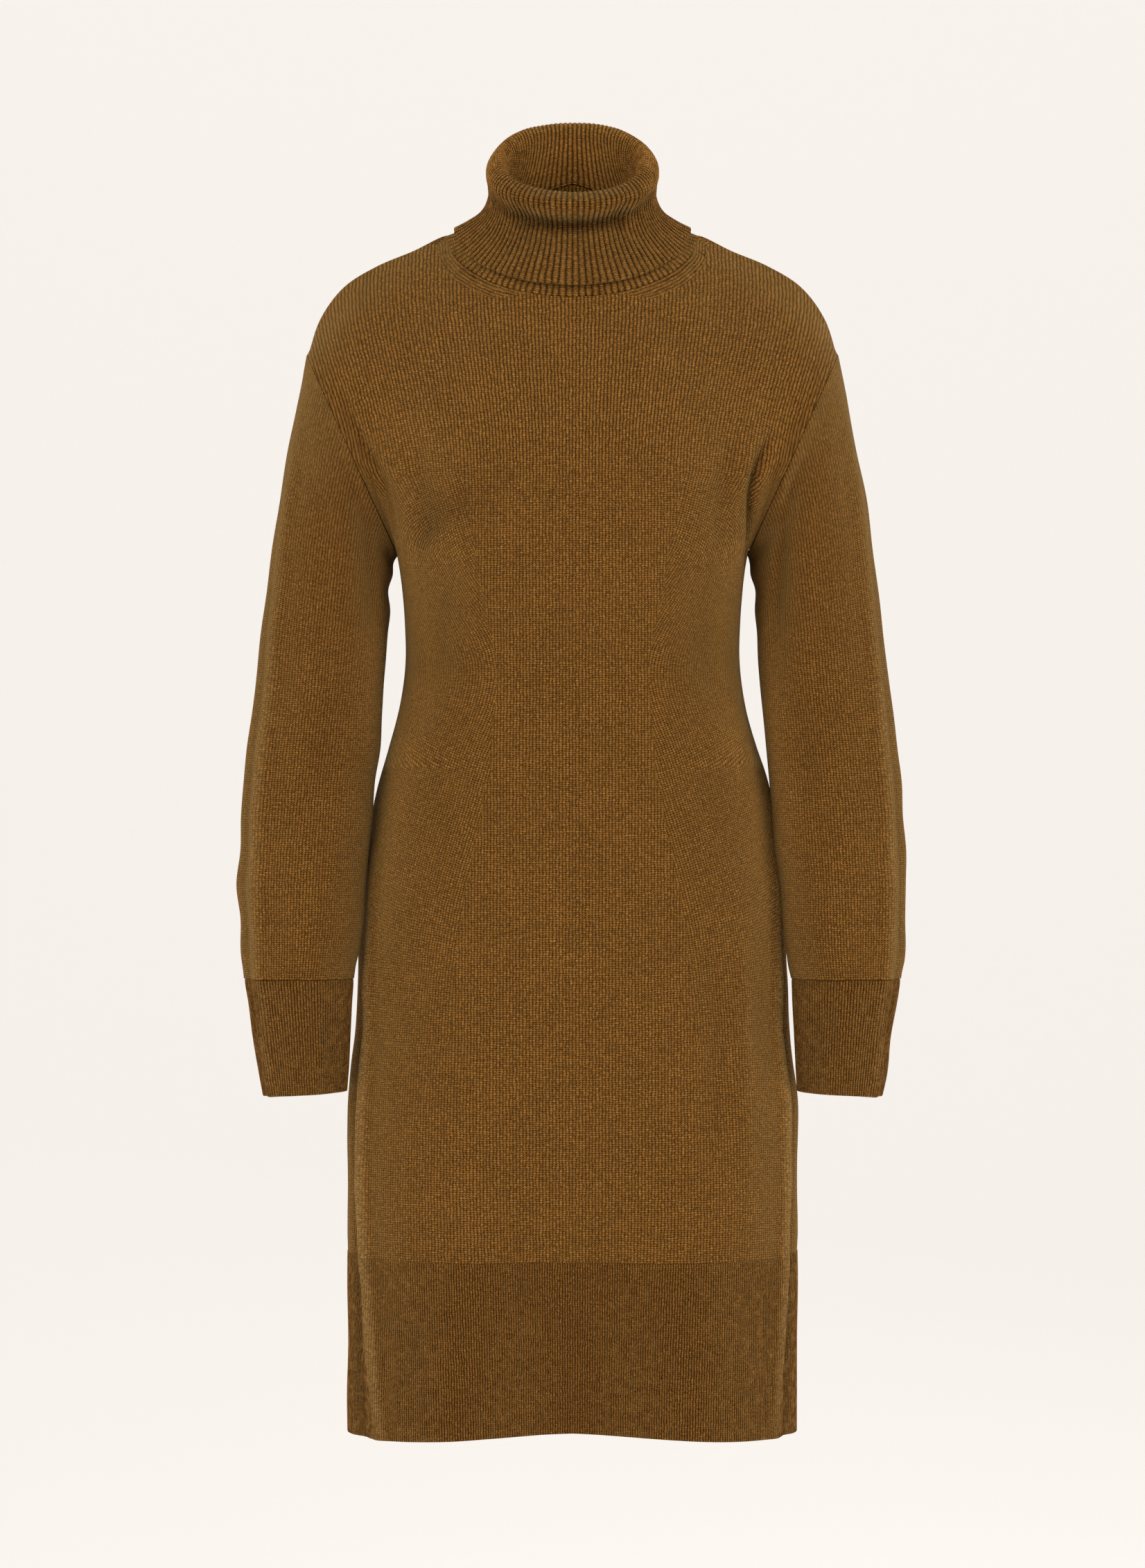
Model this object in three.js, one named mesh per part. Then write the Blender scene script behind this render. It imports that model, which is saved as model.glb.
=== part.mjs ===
// Sweater dress, filled out as it is worn: front and back panels, long sleeves in dropped armholes,
// ribbed cuffs, a ribbed hem and a folded turtleneck.
// Millimetres. +Z is up, the front faces -Y and the wearer's left is +X.
// The origin is the middle of the neck base, level with the points where the shoulders meet the neck.
import * as THREE from 'three';

// Cloth
const WALL = 1.6;
const HALF_WALL = WALL / 2;
const SEAM_GAP = 0.3;

// Ribs: how far apart they stand on the cloth, and how far they stand out
const COLLAR_RIBS = 108;
const CUFF_RIBS = 100;
const HEM_RIB_PITCH = 1.9;
const COLLAR_RIB_HEIGHT = 0.6;
const CUFF_RIB_HEIGHT = 0.4;
const HEM_RIB_HEIGHT = 0.4;

// Main heights
const UNDERARM_Z = -240;
const HEM_SEAM_Z = -760;
const HEM_Z = -893;

// Shoulder and armhole
const SHOULDER_TIP = { x: 198, z: -91 };
const ARMHOLE_HALF_DEPTH = 68;
const ARMHOLE_SEAM_BACK = 6;
const UNDERARM_GAP = 2.6;
const NECK_GAP = 0.9;
const SHOULDER_SEAM_START = 93;

// How finely each piece is divided
const HALF_PANEL_COLUMNS = 10;
const HALF_NECK_COLUMNS = 5;
const YOKE_ROWS = 10;
const PLAIN_COLLAR_COLUMNS = 24;
const PLAIN_CUFF_COLUMNS = 20;
const HEM_COLUMNS_PER_PLAIN_ONE = 8;
const HALF_LINE_STEPS = 24;
const RING_STEPS = 48;

// The dress from the underarm down. One row per level: half its width, where its front, side seam and
// back lie along Y, and how square the front and back halves are (2 is an ellipse).
const BODY = [
  { z: -240, halfWidth: 130.7, front: -128, side: 0, back: 93, frontSquare: 2.5, backSquare: 2.5 },
  { z: -262, halfWidth: 127.3, front: -121, side: 0, back: 88, frontSquare: 2.4, backSquare: 2.4 },
  { z: -292, halfWidth: 125.0, front: -110, side: 0, back: 81, frontSquare: 2.3, backSquare: 2.3 },
  { z: -323, halfWidth: 124.6, front: -102, side: 0, back: 77, frontSquare: 2.2, backSquare: 2.3 },
  { z: -354, halfWidth: 129.0, front: -99, side: 3, back: 80, frontSquare: 2.2, backSquare: 2.3 },
  { z: -385, halfWidth: 137.3, front: -100, side: 7, back: 89, frontSquare: 2.2, backSquare: 2.3 },
  { z: -416, halfWidth: 146.3, front: -104, side: 12, back: 99, frontSquare: 2.2, backSquare: 2.3 },
  { z: -450, halfWidth: 153.0, front: -109, side: 18, back: 109, frontSquare: 2.2, backSquare: 2.3 },
  { z: -500, halfWidth: 159.0, front: -115, side: 25, back: 118, frontSquare: 2.3, backSquare: 2.4 },
  { z: -555, halfWidth: 161.0, front: -117, side: 32, back: 121, frontSquare: 2.4, backSquare: 2.5 },
  { z: -600, halfWidth: 163.5, front: -117, side: 38, back: 119, frontSquare: 2.5, backSquare: 2.5 },
  { z: -650, halfWidth: 168.5, front: -115, side: 45, back: 115, frontSquare: 2.8, backSquare: 2.6 },
  { z: -760, halfWidth: 168.5, front: -112, side: 42, back: 108, frontSquare: 3.0, backSquare: 2.7 },
  { z: -893, halfWidth: 168.0, front: -112, side: 38, back: 104, frontSquare: 3.0, backSquare: 2.8 },
];

// Folds of the skirt. One row per fold: which half it is in, where it lies along X, the height where it
// starts and where it is deepest, half its width, and its depth there (outwards is positive).
const SKIRT_FOLDS = [
  { half: 'front', x: 0, top: -600, bottom: -893, halfWidth: 82, depth: -30 },
  { half: 'front', x: -106, top: -640, bottom: -893, halfWidth: 62, depth: 6 },
  { half: 'front', x: 106, top: -640, bottom: -893, halfWidth: 62, depth: 6 },
  { half: 'back', x: 0, top: -620, bottom: -893, halfWidth: 80, depth: -18 },
  { half: 'back', x: -98, top: -640, bottom: -893, halfWidth: 60, depth: 5 },
  { half: 'back', x: 98, top: -640, bottom: -893, halfWidth: 60, depth: 5 },
];

// The hem's lower edge: how far it lies above or below the hem level, from the middle of the front (0)
// round to the side seam (1) and the middle of the back (2)
const HEM_EDGE = [
  { turn: 0, rise: 7 },
  { turn: 0.25, rise: 5 },
  { turn: 0.5, rise: 2 },
  { turn: 0.75, rise: 0.5 },
  { turn: 1, rise: -3 },
  { turn: 1.5, rise: 0 },
  { turn: 2, rise: 3 },
];

// One sleeve, from below the armhole to the cuff. One row per ring: the point of its outer edge, the
// point of its inner edge, the middle along Y and half the depth.
const SLEEVE = [
  { outerX: 204.5, outerZ: -124, innerX: 133.6, innerZ: -248, middle: 1, halfDepth: 66 },
  { outerX: 211.5, outerZ: -160, innerX: 134.6, innerZ: -256, middle: 0, halfDepth: 63 },
  { outerX: 217.5, outerZ: -194, innerX: 135.6, innerZ: -266, middle: -1, halfDepth: 60 },
  { outerX: 224.0, outerZ: -238, innerX: 136.6, innerZ: -284, middle: -3, halfDepth: 57 },
  { outerX: 230.5, outerZ: -286, innerX: 138.0, innerZ: -308, middle: -6, halfDepth: 54.5 },
  { outerX: 236.0, outerZ: -340, innerX: 140.0, innerZ: -345, middle: -12, halfDepth: 52 },
  { outerX: 241.5, outerZ: -388, innerX: 144.0, innerZ: -388, middle: -18, halfDepth: 50 },
  { outerX: 246.0, outerZ: -440, innerX: 148.4, innerZ: -440, middle: -24, halfDepth: 49 },
  { outerX: 247.5, outerZ: -485, innerX: 152.2, innerZ: -485, middle: -29, halfDepth: 48 },
  { outerX: 245.8, outerZ: -525, innerX: 156.0, innerZ: -525, middle: -33, halfDepth: 46 },
  { outerX: 243.0, outerZ: -555, innerX: 161.5, innerZ: -555, middle: -36, halfDepth: 42.5 },
];

// One cuff, from its seam to its edge
const CUFF = [
  { outerX: 242.0, outerZ: -555, innerX: 162.3, innerZ: -555, middle: -36, halfDepth: 41.5 },
  { outerX: 228.6, outerZ: -641.5, innerX: 166.6, innerZ: -638, middle: -40, halfDepth: 33 },
];

// The collar, from its neck seam up inside, over the roll and down to its free edge. One row per ring:
// where it lies in front, at the sides and behind. Full is how squarely its front half runs across, nape
// how much the back half is drawn in to the nape of the neck, and drop how late it falls away behind.
const COLLAR = [
  { frontY: -84, frontZ: -56, sideX: 93, sideZ: -4.5, backY: 52, backZ: 41, full: 0, nape: 1, drop: 1 },
  { frontY: -74, frontZ: -40, sideX: 77, sideZ: -2, backY: 50.5, backZ: 52, full: 0, nape: 0.7, drop: 1 },
  { frontY: -62, frontZ: -16, sideX: 57, sideZ: 10, backY: 49.5, backZ: 66, full: 0.3, nape: 0.2, drop: 1 },
  { frontY: -57, frontZ: 8, sideX: 48.5, sideZ: 40, backY: 50, backZ: 80, full: 0.8, nape: 0, drop: 1 },
  { frontY: -64, frontZ: 21.5, sideX: 53.5, sideZ: 57.5, backY: 55, backZ: 87.5, full: 0.8, nape: 0, drop: 1 },
  { frontY: -75, frontZ: 14.5, sideX: 62.5, sideZ: 48, backY: 60, backZ: 80, full: 0.5, nape: 0, drop: 1 },
  { frontY: -72, frontZ: 5, sideX: 62.5, sideZ: 36, backY: 61, backZ: 62, full: 0.3, nape: 0, drop: 1 },
  { frontY: -65.5, frontZ: -6, sideX: 61.4, sideZ: 26, backY: 61.5, backZ: 45, full: 0, nape: 0, drop: 1 },
  { frontY: -69, frontZ: -19, sideX: 66.5, sideZ: 15, backY: 66, backZ: 24, full: 0, nape: 0, drop: 1.5 },
  { frontY: -77, frontZ: -34, sideX: 77, sideZ: 7.5, backY: 74, backZ: 8, full: 0, nape: 0, drop: 2.5 },
  { frontY: -84, frontZ: -47, sideX: 88, sideZ: 2, backY: 83, backZ: -6, full: 0, nape: 0, drop: 3 },
];

// The line of the shoulder seam, between the neck and the tip of the shoulder
const SHOULDER_SEAM = [
  { x: 110, y: -8, z: -11 },
  { x: 128, y: -4, z: -18.5 },
  { x: 156, y: 2, z: -30 },
  { x: 172, y: 4, z: -42 },
  { x: 183, y: 5.5, z: -55 },
  { x: 192, y: 6.5, z: -74 },
];

// How the panels leave the shoulder and neck seams, as pulls on the rows of the yoke: at the middle of
// the neckline, at the foot of the neck and at the tip of the shoulder
const FRONT_PULLS = { middle: [0, -70, -150], neck: [60, -150, -105], tip: [10, -235, -50] };
const BACK_PULLS = { middle: [0, 90, -210], neck: [60, 180, -50], tip: [10, 235, -50] };
const YOKE_FALL = 190;
const YOKE_SMOOTHING = 6;
const SMOOTHING_SHARE = 0.5;

// How the back of a collar ring is drawn in to the nape of the neck: how much fuller it runs across,
// how much further it tucks in, and how much later it rises
const NAPE = { fuller: 0.4, tuck: 0.25, later: 0.8 };

// Where the armhole turns under the arm, as shares of its height: the walls' edges stop lying square
// to it between these
const UNDERARM_TURN = { from: 0.6, to: 0.95 };

// A last level of the skirt between the two lowest of the table
const LOW_SKIRT_Z = -705;

const point = (x, y, z) => new THREE.Vector3(x, y, z);
const degrees = Math.PI / 180;

// A smooth curve through one column of a table, read at any place along its key column
function column(table, key, name) {
  const at = table.map(row => row[key]);
  const value = table.map(row => row[name]);
  const last = table.length - 1;
  const slope = value.map((_, i) => {
    const before = Math.max(i - 1, 0);
    const after = Math.min(i + 1, last);
    return (value[after] - value[before]) / (at[after] - at[before]);
  });
  const falling = at[0] > at[last];
  return place => {
    let i = 0;
    while (i < last - 1 && (falling ? place < at[i + 1] : place > at[i + 1])) i += 1;
    const span = at[i + 1] - at[i];
    const t = (place - at[i]) / span;
    return (2 * t ** 3 - 3 * t ** 2 + 1) * value[i] + (t ** 3 - 2 * t ** 2 + t) * slope[i] * span
      + (3 * t ** 2 - 2 * t ** 3) * value[i + 1] + (t ** 3 - t ** 2) * slope[i + 1] * span;
  };
}

const bodyAt = {};
for (const name of ['halfWidth', 'front', 'side', 'back', 'frontSquare', 'backSquare']) {
  bodyAt[name] = column(BODY, 'z', name);
}
const hemRise = column(HEM_EDGE, 'turn', 'rise');

// How far a fold pushes the cloth out at a place
function foldOut(half, x, z) {
  let out = 0;
  for (const fold of SKIRT_FOLDS) {
    if (fold.half !== half) continue;
    const across = (x - fold.x) / fold.halfWidth;
    const down = THREE.MathUtils.smoothstep(-z, -fold.top, -fold.bottom);
    out += fold.depth * down * Math.exp(-2 * across ** 2);
  }
  return out;
}

// Half of a level line round the body, evenly spaced, from the middle of the front or back to the side
// seam on the +X side
function bodyHalfLine(half, z, count) {
  const width = bodyAt.halfWidth(z) - HALF_WALL;
  const side = bodyAt.side(z);
  const isFront = half === 'front';
  const middle = isFront ? bodyAt.front(z) + HALF_WALL : bodyAt.back(z) - HALF_WALL;
  const square = isFront ? bodyAt.frontSquare(z) : bodyAt.backSquare(z);
  const outwards = isFront ? -1 : 1;
  const line = [];
  for (let step = 0; step <= HALF_LINE_STEPS; step += 1) {
    const angle = (step / HALF_LINE_STEPS) * Math.PI / 2;
    const x = width * Math.sin(angle) ** (2 / square);
    const y = side + (middle - side) * Math.max(Math.cos(angle), 0) ** (2 / square);
    const fade = Math.cos(angle) ** 0.5 || 0;
    line.push(point(x, y + outwards * foldOut(half, x, z) * fade, z));
  }
  return new THREE.CatmullRomCurve3(line).getSpacedPoints(count);
}

// The armhole seam: an upright oval from the tip of the shoulder to the underarm. The turn is 0 at the
// tip, 90 at the back, 180 at the underarm and 270 at the front.
const armholeTop = point(SHOULDER_TIP.x - HALF_WALL, 0, SHOULDER_TIP.z - HALF_WALL);
const armholeFoot = point(bodyAt.halfWidth(UNDERARM_Z) - HALF_WALL, 0, UNDERARM_Z);
const armholeMiddle = armholeTop.clone().add(armholeFoot).multiplyScalar(0.5);
const armholeReach = armholeTop.clone().sub(armholeMiddle);
const armholeOut = point(-armholeReach.z, 0, armholeReach.x).normalize().negate();
function armhole(turn) {
  const p = armholeMiddle.clone().addScaledVector(armholeReach, Math.cos(turn * degrees));
  p.y += ARMHOLE_HALF_DEPTH * Math.sin(turn * degrees);
  return p;
}

// Where the rows of the panels meet the armhole seam, from the shoulder seam down one side
function armholeTurn(half, row) {
  const end = half === 'front' ? -180 : 180;
  return ARMHOLE_SEAM_BACK + (end - ARMHOLE_SEAM_BACK) * row / YOKE_ROWS;
}

// The same places all round a sleeve, counter-clockwise
const SLEEVE_TURNS = [];
for (let row = 0; row < YOKE_ROWS; row += 1) SLEEVE_TURNS.push(armholeTurn('back', row));
for (let row = YOKE_ROWS; row > 0; row -= 1) SLEEVE_TURNS.push(armholeTurn('front', row) + 360);

// Lays a wall's edge square to the armhole, so that panel and sleeve meet face to face down to where
// both turn under the arm
function squareToArmhole(normal, turn) {
  const under = (1 - Math.cos(turn * degrees)) / 2;
  const share = 1 - THREE.MathUtils.smoothstep(under, UNDERARM_TURN.from, UNDERARM_TURN.to);
  return normal.addScaledVector(armholeOut, -share * normal.dot(armholeOut)).normalize();
}

// A ring of the collar at an angle from the middle of the front
function collarPoint(ring, angle) {
  const c = Math.cos(angle * degrees);
  const s = Math.sin(angle * degrees);
  const reach = Math.abs(c);
  const nape = c < 0 ? ring.nape : 0;
  const full = c < 0 ? 0 : ring.full;
  const across = (1 - reach ** (2 + full - NAPE.fuller * nape)) ** (0.5 + NAPE.tuck * nape);
  const middle = (ring.frontY + ring.backY) / 2;
  const y = middle - (ring.backY - ring.frontY) / 2 * c;
  const end = c < 0 ? ring.backZ : ring.frontZ;
  const bend = c < 0 ? Math.max(1 + NAPE.later * nape, ring.drop) : 1;
  const z = ring.sideZ + (end - ring.sideZ) * reach ** bend;
  return point(Math.sign(s) * ring.sideX * across, y, z);
}

// Evenly spaced points along a run of the collar ring
function collarRun(ring, from, to, count) {
  const line = [];
  for (let step = 0; step <= RING_STEPS; step += 1) {
    line.push(collarPoint(ring, from + (to - from) * step / RING_STEPS));
  }
  return new THREE.CatmullRomCurve3(line).getSpacedPoints(count);
}

// The top edge of half a panel: along the neck seam, then out along the shoulder seam
function panelTop(half) {
  const start = half === 'front' ? 0 : 180;
  const neck = collarRun(COLLAR[0], start, SHOULDER_SEAM_START, HALF_NECK_COLUMNS);
  const foot = neck[HALF_NECK_COLUMNS];
  const tip = armhole(ARMHOLE_SEAM_BACK);
  const line = [foot, ...SHOULDER_SEAM.map(p => point(p.x, p.y, p.z - HALF_WALL)), tip];
  const shoulder = new THREE.CatmullRomCurve3(line, false, 'centripetal')
    .getSpacedPoints(HALF_PANEL_COLUMNS - HALF_NECK_COLUMNS);
  return [...neck, ...shoulder.slice(1)];
}

// Half of the yoke, from the shoulder and neck down to the underarm. Its rows are drawn between the top
// edge and the body's level line, pulled forward or back over the shoulder, with their outer ends on
// the armhole.
function yokeHalf(half) {
  const pulls = half === 'front' ? FRONT_PULLS : BACK_PULLS;
  const [middlePull, neckPull, tipPull] = [pulls.middle, pulls.neck, pulls.tip].map(p => point(...p));
  const top = panelTop(half);
  const foot = bodyHalfLine(half, UNDERARM_Z, HALF_PANEL_COLUMNS);
  const below = bodyHalfLine(half, UNDERARM_Z - 1, HALF_PANEL_COLUMNS);
  const pullAt = c => (c <= HALF_NECK_COLUMNS
    ? middlePull.clone().lerp(neckPull, c / HALF_NECK_COLUMNS)
    : neckPull.clone().lerp(tipPull, (c - HALF_NECK_COLUMNS) / (HALF_PANEL_COLUMNS - HALF_NECK_COLUMNS)));
  const at = (c, t) => {
    const p = top[c].clone().multiplyScalar(2 * t ** 3 - 3 * t ** 2 + 1);
    p.addScaledVector(pullAt(c), t ** 3 - 2 * t ** 2 + t);
    p.addScaledVector(foot[c], 3 * t ** 2 - 2 * t ** 3);
    return p.addScaledVector(below[c].clone().sub(foot[c]), YOKE_FALL * (t ** 3 - t ** 2));
  };
  const rows = [];
  for (let r = 0; r <= YOKE_ROWS; r += 1) {
    const t = r / YOKE_ROWS;
    const pull = armhole(armholeTurn(half, r)).sub(at(HALF_PANEL_COLUMNS, t));
    const row = [];
    for (let c = 0; c <= HALF_PANEL_COLUMNS; c += 1) {
      row.push(at(c, t).addScaledVector(pull, (c / HALF_PANEL_COLUMNS) ** 3));
    }
    rows.push(row);
  }
  return rows;
}

const mirrored = p => point(-p.x, p.y, p.z);

// A whole row from its +X half, running counter-clockwise seen from above
function wholeRow(half, row) {
  const other = row.slice(1).map(mirrored).reverse();
  return half === 'front' ? [...other, ...row] : [...row.slice().reverse(), ...other.reverse()];
}

// Evens out the yoke, inside its edges
function smoothed(rows) {
  let now = rows;
  for (let pass = 0; pass < YOKE_SMOOTHING; pass += 1) {
    now = now.map((row, r) => row.map((p, c) => {
      if (r === 0 || r > YOKE_ROWS + 1 || c === 0 || c === row.length - 1) return p;
      const near = point(0, 0, 0);
      for (const q of [now[r - 1][c], now[r + 1][c], row[c - 1], row[c + 1]]) near.addScaledVector(q, 1 / 4);
      return p.clone().lerp(near, SMOOTHING_SHARE);
    }));
  }
  return now;
}

// The middle surface of a panel, from its top edge to the hem seam
function panelRows(half) {
  const rows = yokeHalf(half);
  for (const level of BODY) {
    const isBetween = level.z < UNDERARM_Z && level.z > HEM_SEAM_Z;
    if (isBetween) rows.push(bodyHalfLine(half, level.z, HALF_PANEL_COLUMNS));
  }
  rows.push(bodyHalfLine(half, LOW_SKIRT_Z, HALF_PANEL_COLUMNS));
  rows.push(bodyHalfLine(half, HEM_SEAM_Z + SEAM_GAP / 2, HALF_PANEL_COLUMNS));
  return smoothed(rows.map(row => wholeRow(half, row)));
}

// Moves the ends of a panel's rows off the side and shoulder seams, so that the pieces stand a gap apart
function openSeams(rows, half) {
  const away = half === 'front' ? -1 : 1;
  rows[0].forEach((p, c) => {
    const fromMiddle = Math.abs(c - HALF_PANEL_COLUMNS);
    if (fromMiddle <= HALF_NECK_COLUMNS) p.lerp(rows[1][c], SEAM_GAP / p.distanceTo(rows[1][c]));
    if (fromMiddle >= HALF_NECK_COLUMNS) p.y += away * SEAM_GAP / 2;
  });
  for (const row of rows.slice(YOKE_ROWS)) {
    row[0].y += away * SEAM_GAP / 2;
    row[row.length - 1].y += away * SEAM_GAP / 2;
  }
  return rows;
}

// Unit normals of a grid of points, on the side that faces out where rows run down and columns run
// counter-clockwise
function normals(rows, isRing, squared = normal => normal) {
  const last = rows.length - 1;
  return rows.map((row, r) => row.map((_, c) => {
    const n = row.length;
    const left = isRing ? row[(c + n - 1) % n] : row[Math.max(c - 1, 0)];
    const right = isRing ? row[(c + 1) % n] : row[Math.min(c + 1, n - 1)];
    const down = rows[Math.min(r + 1, last)][c].clone().sub(rows[Math.max(r - 1, 0)][c]);
    return squared(down.cross(right.clone().sub(left)).normalize(), r, c);
  }));
}

// One face of a wall: the grid moved along its normals, by its own distance in each column
function face(rows, isRing, distanceAt, squared) {
  const out = normals(rows, isRing, squared);
  return rows.map((row, r) => row.map((p, c) => p.clone().addScaledVector(out[r][c], distanceAt(c))));
}

// Every so many columns of a grid
const thinned = (rows, step) => rows.map(row => row.filter((_, c) => c % step === 0));

// Joins two lines of point numbers that run the same way with a strip of triangles
function strip(triangles, a, b, isRing) {
  const n = isRing ? a.length : a.length - 1;
  const m = isRing ? b.length : b.length - 1;
  let i = 0;
  let j = 0;
  while (i < n || j < m) {
    const from = a[i % a.length];
    const across = b[j % b.length];
    if (j === m || (i < n && (i + 1) * m <= (j + 1) * n)) {
      i += 1;
      triangles.push(from, a[i % a.length], across);
    } else {
      j += 1;
      triangles.push(from, b[j % b.length], across);
    }
  }
}

// A closed solid between an outer and an inner grid
function wallGeometry(outer, inner, isRing, isMirrored) {
  const places = [];
  const triangles = [];
  const number = rows => rows.map(row => row.map(p => {
    places.push(isMirrored ? -p.x : p.x, p.y, p.z);
    return places.length / 3 - 1;
  }));
  const out = number(outer);
  const back = number(inner);
  for (let r = 0; r < out.length - 1; r += 1) strip(triangles, out[r + 1], out[r], isRing);
  for (let r = 0; r < back.length - 1; r += 1) strip(triangles, back[r], back[r + 1], isRing);
  strip(triangles, out[0], back[0], isRing);
  strip(triangles, back[back.length - 1], out[out.length - 1], isRing);
  if (!isRing) {
    const first = rows => rows.map(row => row[0]);
    const last = rows => rows.map(row => row[row.length - 1]);
    strip(triangles, first(back), first(out), false);
    strip(triangles, last(out), last(back), false);
  }
  if (isMirrored) triangles.reverse();
  const geometry = new THREE.BufferGeometry();
  geometry.setAttribute('position', new THREE.Float32BufferAttribute(places, 3));
  geometry.setIndex(triangles);
  geometry.computeVertexNormals();
  return geometry;
}

const yarn = { color: 0x744e22, roughness: 0.9, metalness: 0 };
const ribYarn = { color: 0x6a461f, roughness: 0.92, metalness: 0 };
const dress = new THREE.Group();
function addPiece(name, geometry, finish) {
  const piece = new THREE.Mesh(geometry, new THREE.MeshStandardMaterial(finish));
  piece.name = name;
  dress.add(piece);
}

function plainWall(rows, isRing, isMirrored, squared) {
  const outer = face(rows, isRing, () => HALF_WALL, squared);
  const inner = face(rows, isRing, () => -HALF_WALL, squared);
  return wallGeometry(outer, inner, isRing, isMirrored);
}

// A wall whose outer face rises on every second column, over a plain inner face with fewer columns
function ribbedWall(rows, plainStep, ribHeight, isRing, isMirrored) {
  const outer = face(rows, isRing, c => HALF_WALL + (c % 2 === 1 ? ribHeight : 0));
  const inner = thinned(face(rows, isRing, () => -HALF_WALL), plainStep);
  return wallGeometry(outer, inner, isRing, isMirrored);
}

// Panels, with the walls' edges square to the shoulder seams, side seams and armholes
function squarePanelEdge(half) {
  return (normal, r, c) => {
    const isEnd = c === 0 || c === 2 * HALF_PANEL_COLUMNS;
    const isShoulder = r === 0 && Math.abs(c - HALF_PANEL_COLUMNS) >= HALF_NECK_COLUMNS;
    if (isShoulder || (isEnd && r > YOKE_ROWS)) normal.setY(0).normalize();
    if (!isEnd || r > YOKE_ROWS) return normal;
    const isOther = normal.x < 0;
    if (isOther) normal.x *= -1;
    squareToArmhole(normal, armholeTurn(half, r));
    if (isOther) normal.x *= -1;
    return normal;
  };
}
for (const half of ['front', 'back']) {
  const rows = openSeams(panelRows(half), half);
  addPiece(`${half}_panel`, plainWall(rows, false, false, squarePanelEdge(half)), yarn);
}

// Hem ribs
function hemRows(half) {
  const seamLine = bodyHalfLine(half, HEM_SEAM_Z, HALF_LINE_STEPS);
  const halfLength = new THREE.CatmullRomCurve3(seamLine).getLength();
  const step = HEM_COLUMNS_PER_PLAIN_ONE;
  const count = step * Math.round(2 * halfLength / HEM_RIB_PITCH / step);
  const top = bodyHalfLine(half, HEM_SEAM_Z - SEAM_GAP / 2, count);
  const edge = bodyHalfLine(half, HEM_Z, count);
  edge.forEach((p, c) => {
    p.z += hemRise(half === 'front' ? c / count : 2 - c / count);
  });
  const away = half === 'front' ? -1 : 1;
  for (const line of [top, edge]) line[count].y += away * SEAM_GAP / 2;
  return [top, edge].map(row => wholeRow(half, row));
}
for (const half of ['front', 'back']) {
  const hem = ribbedWall(hemRows(half), HEM_COLUMNS_PER_PLAIN_ONE, HEM_RIB_HEIGHT, false, false);
  addPiece(`${half}_hem_rib`, hem, ribYarn);
}

// A ring of a sleeve or cuff, counter-clockwise from its outer edge
function sleeveRing(ring, turns) {
  const outer = point(ring.outerX, ring.middle, ring.outerZ);
  const inner = point(ring.innerX, ring.middle, ring.innerZ);
  const middle = outer.clone().add(inner).multiplyScalar(0.5);
  const reach = outer.clone().sub(middle);
  reach.setLength(reach.length() - HALF_WALL);
  return turns.map(turn => {
    const p = middle.clone().addScaledVector(reach, Math.cos(turn * degrees));
    p.y += (ring.halfDepth - HALF_WALL) * Math.sin(turn * degrees);
    return p;
  });
}

// The sleeve's top ring stands off the armhole seam, further at the underarm, where both pieces turn down
function sleeveTop() {
  return SLEEVE_TURNS.map(turn => {
    const under = (1 - Math.cos(turn * degrees)) / 2;
    return armhole(turn).addScaledVector(armholeOut, SEAM_GAP + (UNDERARM_GAP - SEAM_GAP) * under ** 2);
  });
}

// Sleeves and cuffs
const sleeveRows = [sleeveTop(), ...SLEEVE.map(ring => sleeveRing(ring, SLEEVE_TURNS))];
const cuffTurns = Array.from({ length: 2 * CUFF_RIBS }, (_, c) => 180 * c / CUFF_RIBS);
const cuffRows = CUFF.map(ring => sleeveRing(ring, cuffTurns));
const squareSleeveTop = (normal, r, c) => (r === 0 ? squareToArmhole(normal, SLEEVE_TURNS[c]) : normal);
cuffRows[0].forEach(p => { p.z -= SEAM_GAP; });
for (const side of ['left', 'right']) {
  const isMirrored = side === 'right';
  addPiece(`${side}_sleeve`, plainWall(sleeveRows, true, isMirrored, squareSleeveTop), yarn);
  const cuff = ribbedWall(cuffRows, 2 * CUFF_RIBS / PLAIN_CUFF_COLUMNS, CUFF_RIB_HEIGHT, true, isMirrored);
  addPiece(`${side}_cuff`, cuff, ribYarn);
}

// Turtleneck collar. Its first ring runs straight between the panels' neck points, as their edges do.
function neckSeam(count) {
  const right = [...collarRun(COLLAR[0], 0, SHOULDER_SEAM_START, HALF_NECK_COLUMNS)];
  right.push(...collarRun(COLLAR[0], SHOULDER_SEAM_START, 180, HALF_NECK_COLUMNS).slice(1));
  const loop = new THREE.CurvePath();
  const corners = [...right, ...right.slice(0, -1).reverse().map(mirrored)];
  for (let i = 1; i < corners.length; i += 1) loop.add(new THREE.LineCurve3(corners[i - 1], corners[i]));
  return loop.getSpacedPoints(count);
}
const collarRows = COLLAR.map((ring, r) => {
  const row = r === 0 ? neckSeam(2 * COLLAR_RIBS) : collarRun(ring, 0, 360, 2 * COLLAR_RIBS);
  row.pop();
  return row;
});
collarRows[0].forEach((p, c) => p.lerp(collarRows[1][c], NECK_GAP / p.distanceTo(collarRows[1][c])));
const collarStep = 2 * COLLAR_RIBS / PLAIN_COLLAR_COLUMNS;
addPiece('turtleneck_collar', ribbedWall(collarRows, collarStep, COLLAR_RIB_HEIGHT, true, false), ribYarn);

export default dress;
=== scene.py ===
# Sweater dress: the knitted surface of a dress that is filled out as it is worn.
# Lengths in the tables are millimetres, as in the pattern, and MM turns them into metres.
# +Z is up, the front faces -Y, and the wearer's left is +X.
import math

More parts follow.
